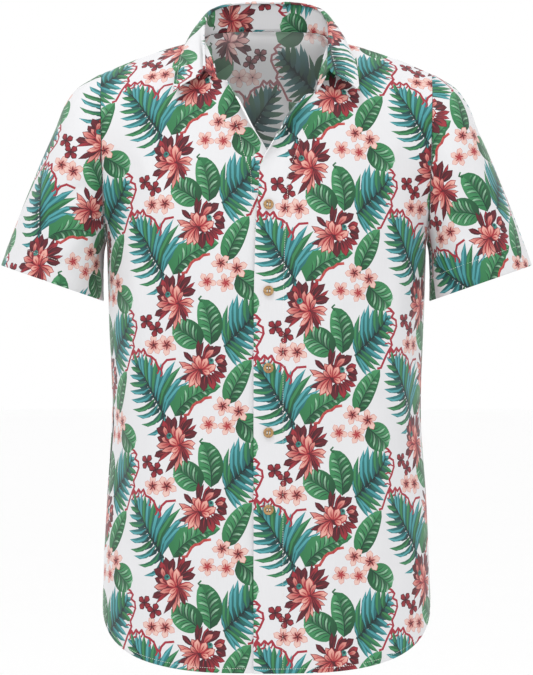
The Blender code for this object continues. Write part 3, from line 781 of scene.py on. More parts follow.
LILY_B = (
    ((0, 8), (0, 33), 5, "d"), ((1, 8), (6, 31), 4, "d"), ((4, 8), (12, 29), 7, "r"),
    ((8, 14), (17, 26), 8, "d"), ((12, 12), (26, 25), 8, "d"), ((18, 10), (31, 15), 7.4, "r"),
    ((20, 8), (33, 5), 8.4, "d"), ((20, 3), (32, -3), 7.4, "d"), ((16, -1), (31, -9), 5.4, "r"),
    ((14, -3), (25, -16), 4.6, "r"), ((10, -4), (17, -23), 8, "r"), ((8, -4), (6, -25), 8, "d"),
    ((-6, 8), (-18, 20), 5.4, "d"), ((0, 0), (-24, 9), 6, "p"), ((0, 0), (-21, 2), 4, "s"),
    ((0, 0), (-19, -3), 4, "p"), ((0, 0), (-24, -11), 5, "d"), ((0, 0), (-17, -15), 4.4, "p"),
    ((0, 0), (-12, -20), 7.4, "s"), ((0, 0), (-4, -21), 6, "s"), ((0, 0), (1, -19), 5, "p"),
    ((19, 8), (29, 10), 5, "p"), ((6, 10), (18, 22), 6.6, "p"), ((-2, 4), (-7, 16), 6, "p"))
CUP_B = (((2, 0), (0, 16), 7.6, "s"), ((3, 0), (10, 13), 7.6, "s"), ((4, -1), (20, 5), 7.6, "s"),
         ((4, -1), (13, -5), 6.6, "s"), ((0, 0), (-8, 8), 5, "p"))


def ring(centre, radius, sides):
    """Outline of a round dot."""
    turn = np.arange(sides) * 2 * np.pi / sides
    return np.asarray(centre) + radius * np.stack([np.cos(turn), np.sin(turn)], axis=1)


def lily(joint, petals, cup, eye):
    """An open lily: back petals, the green eye, then the cup in front of it."""
    joint = np.asarray(joint, dtype=float)
    paint(ring(joint + np.array(eye) * 0.5, 11.0, 12), "wine", "line")
    for number, (root, tip, width, kind) in enumerate(petals):
        petal(joint + root, joint + tip, width, kind, 0.07 * math.sin(number * 2.1))
    paint(ring(joint + eye, 3.6, 8), "jade", "deep teal")
    paint(ring(joint + eye + (0.6, 0.8), 1.6, 6), "deep teal", "night")
    for number, (root, tip, width, kind) in enumerate(cup):
        petal(joint + root, joint + tip, width, kind, 0.1 * math.cos(number * 1.7))

# %% [markdown]
# ## Palm fronds
# A frond is a thin dark rib with leaflets on both sides. The leaflets near the tip stand almost
# in line with the rib, the ones near the foot droop in a bow, and each has a lit and a shaded
# half. Dark blades between neighbours fill the gaps near the rib, as the artist's shade does.

# %% Fronds
FROND_A = ((-18, 32), (-25, 45), (-32, 55), (-38, 65), (-43, 73), (-49, 82), (-57, 92))
LEAVES_A = (  # place along the rib, tip, half width, bow
    (0.98, (-66, 97), 1.5, 0.0), (0.95, (-60, 104), 1.5, 0.0), (0.86, (-66, 88), 1.7, 0.03),
    (0.82, (-53, 105), 1.6, 0.0), (0.74, (-68, 79), 1.8, 0.06), (0.70, (-47, 104), 1.9, 0.02),
    (0.62, (-69, 70), 1.9, 0.08), (0.58, (-41, 103), 2.1, 0.02), (0.50, (-68, 61), 1.9, 0.1),
    (0.47, (-35, 101), 2.3, 0.0), (0.40, (-66, 51), 1.9, 0.13), (0.38, (-28, 97), 2.4, -0.02),
    (0.30, (-64, 40), 1.7, 0.16), (0.30, (-22, 92), 2.5, -0.03), (0.20, (-58, 33), 1.6, 0.2),
    (0.22, (-5, 94), 2.4, 0.05), (0.10, (-50, 23), 1.5, 0.22), (0.14, (2, 88), 2.3, 0.08),
    (0.03, (-41, 11), 1.6, 0.25), (0.06, (9, 80), 2.2, 0.1), (0.02, (12, 71), 2.0, 0.12))
FROND_B = ((53, -49), (63, -38), (72, -30), (81, -21), (87, -13), (92, -5))
LEAVES_B = (
    (0.02, (52, -12), 1.7, 0.03), (0.07, (57, -3), 1.8, 0.08), (0.10, (60, -14), 1.5, 0.03),
    (0.22, (63, 4), 2.0, 0.06), (0.32, (68, 9), 2.1, 0.05), (0.42, (74, 4), 2.0, 0.04),
    (0.55, (78, 9), 2.1, 0.04), (0.72, (85, 8), 1.9, 0.04), (0.86, (90, 2), 1.6, 0.0),
    (0.97, (98, -4), 1.5, 0.0), (0.88, (100, -12), 1.7, -0.03), (0.76, (101, -21), 1.9, -0.05),
    (0.62, (98, -30), 2.0, -0.05), (0.48, (94, -38), 2.0, -0.06), (0.34, (90, -46), 2.0, -0.06),
    (0.20, (88, -53), 1.9, -0.06), (0.12, (84, -60), 1.8, -0.05), (0.05, (79, -65), 1.7, -0.04),
    (0.01, (73, -69), 1.6, -0.02), (0.0, (67, -72), 1.5, 0.0))


SHADES = (("teal", "deep teal"), ("green", "deep teal"), ("green", "moss"), ("teal", "night"),
          ("teal", "moss"))


def on_rib(rib, t):
    """Point part way along a rib."""
    place = np.linspace(0, 1, len(rib))
    return np.array([np.interp(t, place, rib[:, k]) for k in (0, 1)])


def frond(rib, leaves, next_one):
    """A palm frond; next_one counts on to the neighbour on the same side of the rib."""
    rib = np.array(rib, dtype=float)
    for (t, tip, width, bowed), (s, other, _, _) in zip(leaves, leaves[next_one:]):
        root = on_rib(rib, (t + s) / 2)
        run = (np.array(tip) + other) / 2 - root
        root = root - run / math.hypot(*run) * 2.5
        paint(blade(root, root + run * 0.66, width * 1.4, None, bowed, 0.4, 0.45, 3), "night",
              "deep teal")
    for a, b in zip(rib, rib[1:]):
        stroke((a, b), 1.7, "night")
    for number, (t, tip, width, bowed) in enumerate(leaves):
        root = on_rib(rib, t)
        run = np.array(tip) - root
        leaflet(root - run / math.hypot(*run) * 2.0, tip, width, bowed, *SHADES[number % 5])
    for a, b in zip(rib, rib[1:]):
        stroke((a, b), 0.55, "night")


def stroke(points, width, tone, far=None):
    """A drawn line as a chain of thin four-sided shapes."""
    points = np.asarray(points, dtype=float)
    for a, b in zip(points, points[1:]):
        run = (b - a) / max(math.hypot(*(b - a)), 1e-6)
        across, reach = np.array((-run[1], run[0])) * width, run * width * 0.5
        paint((a - across - reach, b - across + reach, b + across + reach, a + across - reach),
              tone, far)


def squiggle(points, width):
    stroke(points, width, "squiggle", "red")

# %% [markdown]
# ## Broad leaves and small flowers
# Each broad leaf is a wide blade with a dark half, a midrib and rows of side veins, each pale
# with a dark line under it. The frangipani have five round petals that go from a red throat to a
# pale rim, and the small red flowers have four.

# %% Leaves and small flowers
def leaf(root, tip, left, right, bowed, veins, fattest, blunt, wave=0.0):
    """A broad leaf; left and right are its half widths, wave ripples its edge."""
    root, tip = np.asarray(root, dtype=float), np.asarray(tip, dtype=float)
    shape = dict(bowed=bowed, fattest=fattest, blunt=blunt, steps=10, wave=wave)
    paint(blade(root, tip, left, right, **shape), "green", "leaf")
    paint(blade(root, tip, 0.0, right, **shape), "moss", "green")
    run = tip - root
    length = math.hypot(*run)
    forward = run / length
    across = np.array((-forward[1], forward[0]))
    for number in range(veins):
        for side, half in ((1, left), (-1, right)):
            t = 0.12 + 0.72 * (number + 0.25 * (side > 0)) / veins
            here = root + t * run + across * 4 * t * (1 - t) * bowed * length
            reach = half * math.sin(math.pi * (t + 0.1) ** 0.87) ** blunt * 0.86
            there = here + across * side * reach + forward * reach * 0.75
            paint(blade(here, there, 1.5, None, -0.1 * side, 0.5, 0.8, 4),
                  "green" if side > 0 else "moss", "mint" if number % 2 else "leaf", fine=True)
            below = forward * 1.3
            paint(blade(here - below, there - below, 0.45, None, -0.1 * side, 0.4, 0.8, 3),
                  "night", "moss", fine=True)
    paint(blade(root - run * 0.04, root + run * 0.94, 0.55, None, bowed, 0.2, 0.8, 6), "night",
          "moss")


def frangipani(centre, size, turn, throat):
    """Five round petals, each with a streak from the throat."""
    centre = np.asarray(centre, dtype=float)
    for k in range(5):
        angle = turn + k * 2 * math.pi / 5
        way = np.array((math.cos(angle), math.sin(angle)))
        paint(blade(centre, centre + way * size * 1.04, size * 0.33, None, 0.06, 0.62, 0.5), "red",
              "salmon")
        paint(blade(centre + way * 0.4, centre + way * size * 0.99, size * 0.29, None, 0.06, 0.64,
                    0.5), "coral", "pale", centre, centre + way * size * 0.62)
        paint(blade(centre, centre + way * size * 0.55, size * 0.09, None, 0.1, 0.4, 0.7, 3),
              throat, "red", fine=True)
    paint(ring(centre, size * 0.09, 5), throat)


def small_flower(centre, size, turn):
    """Four dark petals with a lighter inside."""
    for k in range(4):
        angle = turn + k * math.pi / 2
        way = np.array((math.cos(angle), math.sin(angle)))
        paint(blade(centre, centre + way * size, size * 0.4, None, 0, 0.62, 0.5), "line")
        paint(blade(centre + way * size * 0.12, centre + way * size * 0.9, size * 0.27, None, 0,
                    0.62, 0.5), "wine", "red")
    paint(ring(centre, size * 0.12, 5), "plum")


def draw_repeat():
    """Everything in one repeat, back to front."""
    frond(FROND_A, LEAVES_A, 2)
    frond(FROND_B, LEAVES_B, 1)
    squiggle(((-62, 102), (-60, 107), (-56, 103), (-52, 108), (-48, 104), (-44, 108), (-40, 101),
              (-34, 99), (-29, 95), (-26, 88), (-22, 84), (-20, 90), (-15, 95), (-5, 96)), 1.3)
    for x, y, fall in ((-62, 102, 6), (-52, 108, 9), (-44, 108, 8), (-34, 99, 9), (-26, 88, 8),
                       (-22, 84, 7)):
        squiggle(((x, y), (x + 1, y - fall * 0.6), (x - 1, y - fall)), 0.9)
    squiggle(((86, 10), (92, 6), (96, 4), (100, 0), (97, -5), (103, -8), (104, -15), (100, -24),
              (96, -30), (98, -36), (94, -42), (90, -49), (84, -62), (80, -63)), 1.3)
    squiggle(((94, -42), (100, -44), (98, -49), (104, -47), (108, -52)), 1.1)
    for x, y in ((100, 0), (104, -15), (100, -24), (98, -36)):
        squiggle(((x, y), (x - 5, y + 2), (x - 9, y + 1)), 0.8)
    leaf((-6, 32), (48, 65), 16, 9, 0.12, 7, 0.42, 0.5, 0.12)
    stroke(((5, 33), (10, 34), (13, 39), (16, 44), (20, 47), (25, 48), (30, 52), (37, 53)), 1.5,
           "red", "coral")
    stroke(((56, 38), (57, 48)), 1.0, "moss", "green")
    leaf((56, 45), (83, 94), 13, 11, 0.05, 7, 0.42, 0.6)
    leaf((37, -47), (26, 4), 13, 15, -0.08, 7, 0.5, 0.6)
    stroke(((27, 1), (24, 4), (27, 7)), 0.9, "moss", "green")
    leaf((26, -48), (-8, -26), 15, 17, -0.05, 7, 0.5, 0.45)
    leaf((67, 29), (96, 8), 16, 16, 0.0, 6, 0.5, 0.42)
    lily((0, 0), LILY_A, CUP_A, (-13, 10))
    lily((23, -74), LILY_B, CUP_B, (14, 9))
    for flower in (((55, 21), 10.5, 0.5, "red"), ((50, 43), 11, 1.9, "plum"),
                   ((34, 23), 10.5, 0.9, "red"), ((68, 37), 12, 0.3, "plum"),
                   ((-31, -46), 11.5, 1.5, "plum"), ((-15, -46), 12, 0.8, "plum")):
        frangipani(*flower)
    small_flower(np.array((-40.0, -19.0)), 9.6, 0.9)
    small_flower(np.array((-28.0, -28.0)), 9.6, 1.2)


draw_repeat()
print(len(drawing), "shapes,", sum(len(shape[0]) for shape in drawing), "points in one repeat")

# %% [markdown]
# ## Printing and cutting
# The repeat steps along the bolt, each column a little higher than the last. For one piece the
# shapes that fall on it are merged with its outline and a net into triangles. A triangle knows
# its topmost shape, so the ink edges stay as sharp as on real cloth at any distance. Edges that
# a later shape covers are then taken out and the piece is joined up again, which saves half of
# the triangles.

# %% Print and cut
STEP_RIGHT, STEP_UP = np.array((157.0, 11.0)), np.array((0.0, 158.0))
ANCHOR = {  # x and z on the worn shirt where one lily sits, and which side, and a turn
    "front_left": (51.8, -305.4, -1, 0.0), "front_right": (-98.1, -298.2, -1, 0.0),
    "back": (-45.0, 10.0, 1, 0.0), "sleeve_left": (200.0, -169.0, -1, 0.0),
    "sleeve_right": (-254.5, -254.0, -1, 0.0), "collar_stand": (-41.0, 34.0, 1, 0.0),
    "collar_leaf": (-20.0, 14.0, 1, 1.2)}
FINE, WIDE = 4.0, 7.0            # cell of the net that carries the form, and of the one printed
HEM_LINES = (-2.6, -1.8, -1.2, -0.6, 0.3, 1.2)   # net lines on both sides of a hem's stitches
SIDE_SPLIT, WRONG_SIDE_MISS = 4, 1000
EDGE_LINES, LEAST_STEP = [0.7, 1.5], 0.35
COLUMNS_OUT, ROWS_OUT, MARGIN = 5, 7, 2          # how far the repeat is laid round one lily
SLACK, MERGE, MERGE_AGAIN = 0.06, 0.03, 0.001
GROUND = ((-1e6, -1e6), (1e6, 1e6)), (INKS["ground"], INKS["ground"], (0.0, 0.0), (1.0, 0.0))


def places(sheet, size_of_mesh):
    """Rows and columns of the fine net of a piece, closer together near hems and edges."""
    found = []
    for knot, ends in ((sheet["rows"], EDGES[sheet["name"]][:2]),
                       (sheet["columns"], EDGES[sheet["name"]][2:])):
        size = knot[-1]
        even = list(np.linspace(0, size, max(int(size / size_of_mesh), 3) + 1))
        for (kind, wide), far in zip(ends, (False, True)):
            near = EDGE_LINES + ([2.6] if kind in ("seam", "none")
                                 else [wide + line for line in HEM_LINES])
            even += [size - gap if far else gap for gap in near if gap < size / 2]
        even = sorted(even)
        found.append(np.array([even[0]] + [b for a, b in zip(even, even[1:])
                                           if b - a > LEAST_STEP]))
        found[-1][-1] = size
    return found


def fine_net(sheet, size_of_mesh):
    """Counts of rows and columns, and the row, column and flat place of every point."""
    rows, columns = places(sheet, size_of_mesh)
    r, c = (a.ravel() for a in np.meshgrid(rows, columns, indexing="ij"))
    return len(rows), len(columns), r, c, spread(sheet, "flat", r, c)


def lily_place(sheet, net):
    """Flat place of the spot of a piece where one lily sits, and the turn of its print."""
    _, _, r, c, flat = net
    x, z, side, turn = ANCHOR[sheet["name"]]
    worn_at, _ = form(sheet, r, c)
    miss = np.hypot(worn_at[:, 0] - x, worn_at[:, 2] - z)
    miss += WRONG_SIDE_MISS * (side * (worn_at[:, 1] - SIDE_SPLIT) < 0)
    return flat[np.argmin(miss)], turn


def printed_shapes(flat, joint, turn, fine):
    """The shapes of every repeat that can reach a piece, in order."""
    low, high = flat.min(axis=0) - MARGIN, flat.max(axis=0) + MARGIN
    way, found = spin(turn), []
    for i in range(-COLUMNS_OUT, COLUMNS_OUT + 1):
        for j in range(-ROWS_OUT, ROWS_OUT + 1):
            shift = joint + (i * STEP_RIGHT + j * STEP_UP) @ way
            for outline, near, far, start, end, detail in drawing:
                if detail and not fine:
                    continue
                placed = outline @ way + shift
                if (placed.max(axis=0) > low).all() and (placed.min(axis=0) < high).all():
                    found.append((placed, near, far, start @ way + shift, end @ way + shift))
    return found


def edge_loop(n, m):
    """Round a net once, along its four sides."""
    return (list(range(m)) + [k * m + m - 1 for k in range(1, n)]
            + [(n - 1) * m + k for k in range(m - 2, -1, -1)]
            + [k * m for k in range(n - 2, 0, -1)])


def straighten(corners, lines, held):
    """Take out points that sit on a straight run between their two neighbours."""
    beside = {}
    for a, b in lines.tolist():
        beside.setdefault(a, set()).add(b)
        beside.setdefault(b, set()).add(a)
    place = corners.tolist()
    for k in list(beside):
        if len(beside[k]) != 2 or k in held:
            continue
        a, b = beside[k]
        if b in beside[a]:
            continue
        (ax, ay), (bx, by), (kx, ky) = place[a], place[b], place[k]
        run = math.hypot(bx - ax, by - ay)
        if abs((bx - ax) * (ky - ay) - (by - ay) * (kx - ax)) < SLACK * run:
            beside[a] = beside[a] - {k} | {b}
            beside[b] = beside[b] - {k} | {a}
            del beside[k]
    return np.array([(a, b) for a in beside for b in beside[a] if a < b])


def rejoin(corners, triangles, top, on_net):
    """Fewer triangles: only the seen ink edges stay, the covered ones are taken out."""
    sides = np.sort(np.concatenate([triangles[:, [0, 1]], triangles[:, [1, 2]],
                                    triangles[:, [2, 0]]]), axis=1)
    code = sides[:, 0] * len(corners) + sides[:, 1]
    order = np.argsort(code, kind="stable")
    code, owner, sides = code[order], np.tile(top, 3)[order], sides[order]
    twin = np.append(code[1:] == code[:-1], False)
    alike = twin & (owner == np.roll(owner, -1))
    drop = alike | np.roll(alike, 1)
    lines = straighten(corners, sides[~drop & ~np.append(False, twin[:-1])], set(on_net.tolist()))
    used = np.unique(np.concatenate([lines.ravel(), on_net]))
    fresh = np.zeros(len(corners), dtype=int)
    fresh[used] = np.arange(len(used))
    found = delaunay_2d_cdt([Vector(p) for p in corners[used]], fresh[lines].tolist(), [], 0,
                            MERGE_AGAIN, False)
    again = np.array([(v.x, v.y) for v in found[0]])
    faces = np.array(found[2])
    tree = BVHTree.FromPolygons([(x, y, 0.0) for x, y in corners], triangles.tolist())
    hits = [tree.find_nearest((x, y, 0.0)) for x, y in again[faces].mean(axis=1)]
    inside = np.array([hit[3] < MERGE_AGAIN for hit in hits])
    return again, faces[inside], top[[hit[2] for hit in hits]][inside]


def cut(sheet):
    """Triangles of a piece in the flat, with the ink of every corner."""
    net = fine_net(sheet, FINE)
    joint, turn = lily_place(sheet, net)
    n, m, r, c, flat = fine_net(sheet, WIDE)
    shapes = printed_shapes(flat, joint, turn, sheet["name"] != "back")
    loop = edge_loop(n, m)
    outline = flat[loop]
    if np.cross(outline, np.roll(outline, -1, axis=0)).sum() < 0:
        loop = loop[::-1]
    points = [tuple(p) for p in flat]
    faces = [loop]
    for shape in shapes:
        faces.append(list(range(len(points), len(points) + len(shape[0]))))
        points += [tuple(p) for p in shape[0]]
    found = delaunay_2d_cdt([Vector(p) for p in points], [], faces, 1, MERGE, True)
    corners = np.array([(v.x, v.y) for v in found[0]])
    # The outline is number 0, so a triangle that does not list it lies outside the piece.
    triangles, owners = zip(*[(f, ids) for f, ids in zip(found[2], found[5]) if 0 in ids])
    triangles = np.array(triangles)
    boxes = [GROUND[0]] + [(tuple(shape[0].min(axis=0)), tuple(shape[0].max(axis=0)))
                           for shape in shapes]
    top = np.array([max(i for i in ids if boxes[i][0][0] < x < boxes[i][1][0]
                        and boxes[i][0][1] < y < boxes[i][1][1])
                    for (x, y), ids in zip(corners[triangles].mean(axis=1).tolist(), owners)])
    on_net = [k for k, first in enumerate(found[3]) if any(i < n * m for i in first)]
    corners, triangles, top = rejoin(corners, triangles, top,
                                     np.intersect1d(on_net, np.unique(triangles)))
    near, far, start, end = (np.array([plain] + [shape[k] for shape in shapes])[top]
                             for k, plain in enumerate(GROUND[1], 1))
    run = end - start
    t = ((corners[triangles] - start[:, None]) * run[:, None]).sum(axis=2)
    t = np.clip(t / np.maximum((run**2).sum(axis=1), 1e-6)[:, None], 0, 1)[..., None]
    colours = near[:, None] * (1 - t) + far[:, None] * t
    return net, corners, triangles, colours


def net_place(net, corners):
    """Rows and columns of every corner, found on the fine net laid flat."""
    n, m, r, c, flat = net
    index = np.arange(n * m).reshape(n, m)
    quads = np.stack([index[:-1, :-1], index[:-1, 1:], index[1:, 1:], index[1:, :-1]], axis=-1)
    quads = quads.reshape(-1, 4)
    halves = np.concatenate([quads[:, [0, 1, 2]], quads[:, [0, 2, 3]]])
    tree = BVHTree.FromPolygons([(x, y, 0.0) for x, y in flat], halves.tolist())
    hit = np.array([tree.find_nearest((x, y, 0.0))[2] for x, y in corners])
    a, b, d = (flat[halves[hit, k]] for k in range(3))
    u, v, w = b - a, d - a, corners - a
    area = np.cross(u, v)
    area = np.where(np.abs(area) < 1e-9, 1e-9, area)
    q = np.clip(np.cross(w, v) / area, -0.01, 1.01)
    s = np.clip(np.cross(u, w) / area, -0.01, 1.01)
    pick = [values[halves[hit, 0]] * (1 - q - s) + values[halves[hit, 1]] * q
            + values[halves[hit, 2]] * s for values in (r, c)]
    return pick[0], pick[1]

# %% [markdown]
# ## From flat triangles to a worn shell
# Every corner of the flat triangles is carried to its place on the worn shirt. A second layer
# half a millimetre inside is the wrong side of the cloth, and a narrow rim closes the shell.
# The directions worked out before are stored as custom normals, so light runs smoothly across
# the ink edges. The flat place of each corner becomes the UV map of the weave, in metres.

# %% Shell
def shell(sheet):
    """Mesh of one cut piece: printed layer, wrong side and rim."""
    net, corners, triangles, colours = cut(sheet)
    r, c = net_place(net, corners)
    place, thick, flat = worn(sheet, r, c)
    out = facing(sheet, r, c)
    count = len(place)
    inner = place - out * thick[:, None]
    edges = {}
    for number, (a, b, d) in enumerate(triangles.tolist()):
        edges.update({(a, b): (number, 0), (b, d): (number, 1), (d, a): (number, 2)})
    rim, rim_colours, rim_out = [], [], []
    for (a, b), (number, k) in edges.items():
        if (b, a) in edges:
            continue
        first, last = colours[number, k], colours[number, (k + 1) % 3]
        rim += [(b, a, a + count), (b, a + count, b + count)]
        rim_colours += [(last, first, first), (last, first, last)]
        way = np.cross(place[b] - place[a], out[a])
        rim_out += [way / max(np.linalg.norm(way), 1e-9)] * 6
    faces = np.concatenate([triangles, triangles[:, ::-1] + count, np.array(rim)])
    tints = np.concatenate([colours, colours[:, ::-1], np.array(rim_colours)])
    loops = np.concatenate([out[triangles].reshape(-1, 3), -out[triangles[:, ::-1]].reshape(-1, 3),
                            np.array(rim_out)])
    slots = np.concatenate([np.zeros(len(triangles)), np.ones(len(triangles) + len(rim))])
    if sheet["name"].startswith("collar"):
        slots[:] = 0
    flats = np.concatenate([flat, flat])[faces.ravel()] * MM
    return np.concatenate([place, inner]) * MM, faces, slots, tints, loops, flats


def chart(faces, flats, count):
    """Flat layout for painting: the printed layer on the left, the wrong side on the right."""
    low, size = flats.min(axis=0), np.ptp(flats, axis=0)
    uv = (flats - low) / max(2 * size[0] * 1.02, size[1]) * 0.98 + 0.005
    uv[faces.ravel() >= count, 0] += 0.5
    return uv


def place_in_scene(name, data):
    """A new object for a mesh, a lamp or a camera."""
    item = bpy.data.objects.new(name, data)
    bpy.context.scene.collection.objects.link(item)
    return item


def make_piece(name, data, materials):
    """A mesh object from arrays, with its inks, normals and flat layouts."""
    points, faces, slots, tints, loops, flats = data
    mesh = bpy.data.meshes.new(name)
    mesh.vertices.add(len(points))
    mesh.vertices.foreach_set("co", points.ravel())
    mesh.loops.add(faces.size)
    mesh.loops.foreach_set("vertex_index", faces.ravel().astype(np.int32))
    mesh.polygons.add(len(faces))
    mesh.polygons.foreach_set("loop_start", np.arange(0, faces.size, 3, dtype=np.int32))
    mesh.polygons.foreach_set("material_index", slots.astype(np.int32))
    mesh.polygons.foreach_set("use_smooth", np.ones(len(faces), dtype=bool))
    mesh.update(calc_edges=True)
    weave = mesh.uv_layers.new(name="Cut")
    weave.data.foreach_set("uv", flats.ravel().astype(np.float32))
    paint_map = mesh.uv_layers.new(name="OFBake")
    paint_map.data.foreach_set("uv", chart(faces, flats, len(points) // 2).ravel()
                               .astype(np.float32))
    inks = mesh.color_attributes.new("Ink", "FLOAT_COLOR", "CORNER")
    rgba = np.ones((faces.size, 4), dtype=np.float32)
    rgba[:, :3] = tints.reshape(-1, 3)
    inks.data.foreach_set("color", rgba.ravel())
    mesh.normals_split_custom_set(loops.tolist())
    for material in materials:
        mesh.materials.append(material)
    return place_in_scene(name, mesh)

# %% [markdown]
# ## Printed cotton poplin
# The cloth is a plain weave: threads about two thirds of a millimetre apart cross over and under
# each other. Up close that gives a tiny relief and a soft sheen, and from afar a matt face with
# gentle highlights. The ink sinks in, so it changes the colour and not the gloss. The wrong side
# shows the same design, paler and greyer because less of the ink comes through. It is also made
# brighter than the cloth's own white: painted light that lifts the shade inside the shirt.

# %% Node helper
def add_node(tree, kind, inputs=None, links=None, **settings):
    """Add one node with its settings, values and incoming links."""
    node = tree.nodes.new(kind)
    for key, value in settings.items():
        setattr(node, key, value)
    for key, value in (inputs or {}).items():
        node.inputs[key].default_value = value
    for key, source in (links or {}).items():
        tree.links.new(source, node.inputs[key])
    return node


def new_material(name):
    """An empty material and its node tree."""
    material = bpy.data.materials.new(name)
    material.use_nodes = True
    material.node_tree.nodes.clear()
    return material, material.node_tree


def finish_shader(tree, values, links):
    """The last two nodes of a material: its shader and its output."""
    shader = add_node(tree, "ShaderNodeBsdfPrincipled", values, links)
    add_node(tree, "ShaderNodeOutputMaterial", None, {"Surface": shader.outputs[0]})


def multiply_add(tree, value, scale, base):
    """One node for value * scale + base; base may be a number or another node's output."""
    plain = isinstance(base, float)
    return add_node(tree, "ShaderNodeMath", {1: scale, 2: base} if plain else {1: scale},
                    {0: value} if plain else {0: value, 2: base},
                    operation="MULTIPLY_ADD").outputs[0]

# %% Cloth material
THREADS_X, THREADS_Y = 460.0, 430.0         # scale of the weave each way
SLUBS, PATCHES = (900.0, 60.0, 1.0), 14.0   # thick places in the thread, and soft unevenness


def poplin(name, brightness, saturation, haze):
    """Printed cotton poplin: how bright, how strong and how hazy its inks are on this side."""
    material, tree = new_material(name)
    on_cut = {"Vector": add_node(tree, "ShaderNodeUVMap", uv_map="Cut").outputs["UV"]}
    inks = add_node(tree, "ShaderNodeAttribute", attribute_name="Ink")
    warp, weft = (add_node(tree, "ShaderNodeTexWave",
                           {"Scale": scale, "Distortion": 0.4, "Detail": 1.0}, on_cut,
                           bands_direction=way)
                  for scale, way in ((THREADS_X, "X"), (THREADS_Y, "Y")))
    weave = add_node(tree, "ShaderNodeMath", None, {0: warp.outputs["Fac"],
                                                    1: weft.outputs["Fac"]}, operation="MULTIPLY")
    stretched = add_node(tree, "ShaderNodeMapping", {"Scale": SLUBS}, on_cut)
    slub = add_node(tree, "ShaderNodeTexNoise", {"Scale": 1.0, "Detail": 2.0},
                    {"Vector": stretched.outputs["Vector"]})
    patchy = add_node(tree, "ShaderNodeTexNoise", {"Scale": PATCHES, "Detail": 3.0}, on_cut)
    shade = add_node(tree, "ShaderNodeMath", None,
                     {0: multiply_add(tree, slub.outputs["Fac"], 0.05, brightness),
                      1: multiply_add(tree, patchy.outputs["Fac"], 0.05, 0.955)},
                     operation="MULTIPLY")
    faded = add_node(tree, "ShaderNodeHueSaturation", {"Saturation": saturation},
                     {"Color": inks.outputs["Color"]})
    ground = add_node(tree, "ShaderNodeMix", {"Factor": haze, 7: (0.8, 0.81, 0.83, 1)},
                      {6: faded.outputs["Color"]}, data_type="RGBA")
    colour = add_node(tree, "ShaderNodeVectorMath", None, {0: ground.outputs[2],
                                                           1: shade.outputs[0]},
                      operation="MULTIPLY")
    fine = add_node(tree, "ShaderNodeBump", {"Strength": 0.22, "Distance": 0.00012},
                    {"Height": weave.outputs[0]})
    relief = add_node(tree, "ShaderNodeBump", {"Strength": 0.25, "Distance": 0.0006},
                      {"Height": patchy.outputs["Fac"], "Normal": fine.outputs["Normal"]})
    finish_shader(tree, {"IOR": 1.46, "Sheen Weight": 0.18, "Sheen Roughness": 0.45,
                         "Specular IOR Level": 0.42},
                  {"Base Color": colour.outputs[0],
                   "Roughness": multiply_add(tree, weave.outputs[0], 0.16, 0.56),
                   "Normal": relief.outputs["Normal"]})
    return material


# The wrong side's brightness of 1.24 is painted light: it lifts its whites above the front's to
# brighten the shade inside the shirt. Its lower saturation and haze stand for the paler ink.
both_sides = [poplin("printed_cotton_poplin", 0.955, 1.0, 0.0),
              poplin("poplin_wrong_side_painted_brighter", 1.24, 0.62, 0.07)]

# %% Make the cloth pieces
pieces = {}
for name, sheet in sheets.items():
    pieces[name] = make_piece(name + "_cloth", shell(sheet), both_sides)
    print(name, len(pieces[name].data.polygons), "triangles")
print(f"{time.time() - START:.1f} s")

# %% [markdown]
# ## Stitches
# A lockstitch is a row of short thread loops, each pressed into the cloth at its ends. A path of
# points follows each hem and edge, and Geometry Nodes sets one small thread lozenge after
# another along it. The tree has inputs for the stitch pitch, length and thickness, so one tree
# sews every seam.

# %% Stitch tree
STITCH = {"Stitch pitch": 2.6, "Stitch length": 1.9, "Thread width": 0.5}


def thread_material():
    """Pale polyester thread with a fine twist."""
    material, tree = new_material("polyester_sewing_thread")
    coordinates = add_node(tree, "ShaderNodeTexCoord")
    twist = add_node(tree, "ShaderNodeTexWave", {"Scale": 900.0, "Distortion": 0.5},
                     {"Vector": coordinates.outputs["Object"]}, bands_direction="DIAGONAL")
    tone = add_node(tree, "ShaderNodeMix", {6: (*ink("D9D6CC"), 1), 7: (*ink("F1EFE8"), 1)},
                    {"Factor": twist.outputs["Fac"]}, data_type="RGBA")
    relief = add_node(tree, "ShaderNodeBump", {"Strength": 0.3, "Distance": 0.0001},
                      {"Height": twist.outputs["Fac"]})
    finish_shader(tree, {"Roughness": 0.5, "IOR": 1.5, "Sheen Weight": 0.2},
                  {"Base Color": tone.outputs[2], "Normal": relief.outputs["Normal"]})
    return material


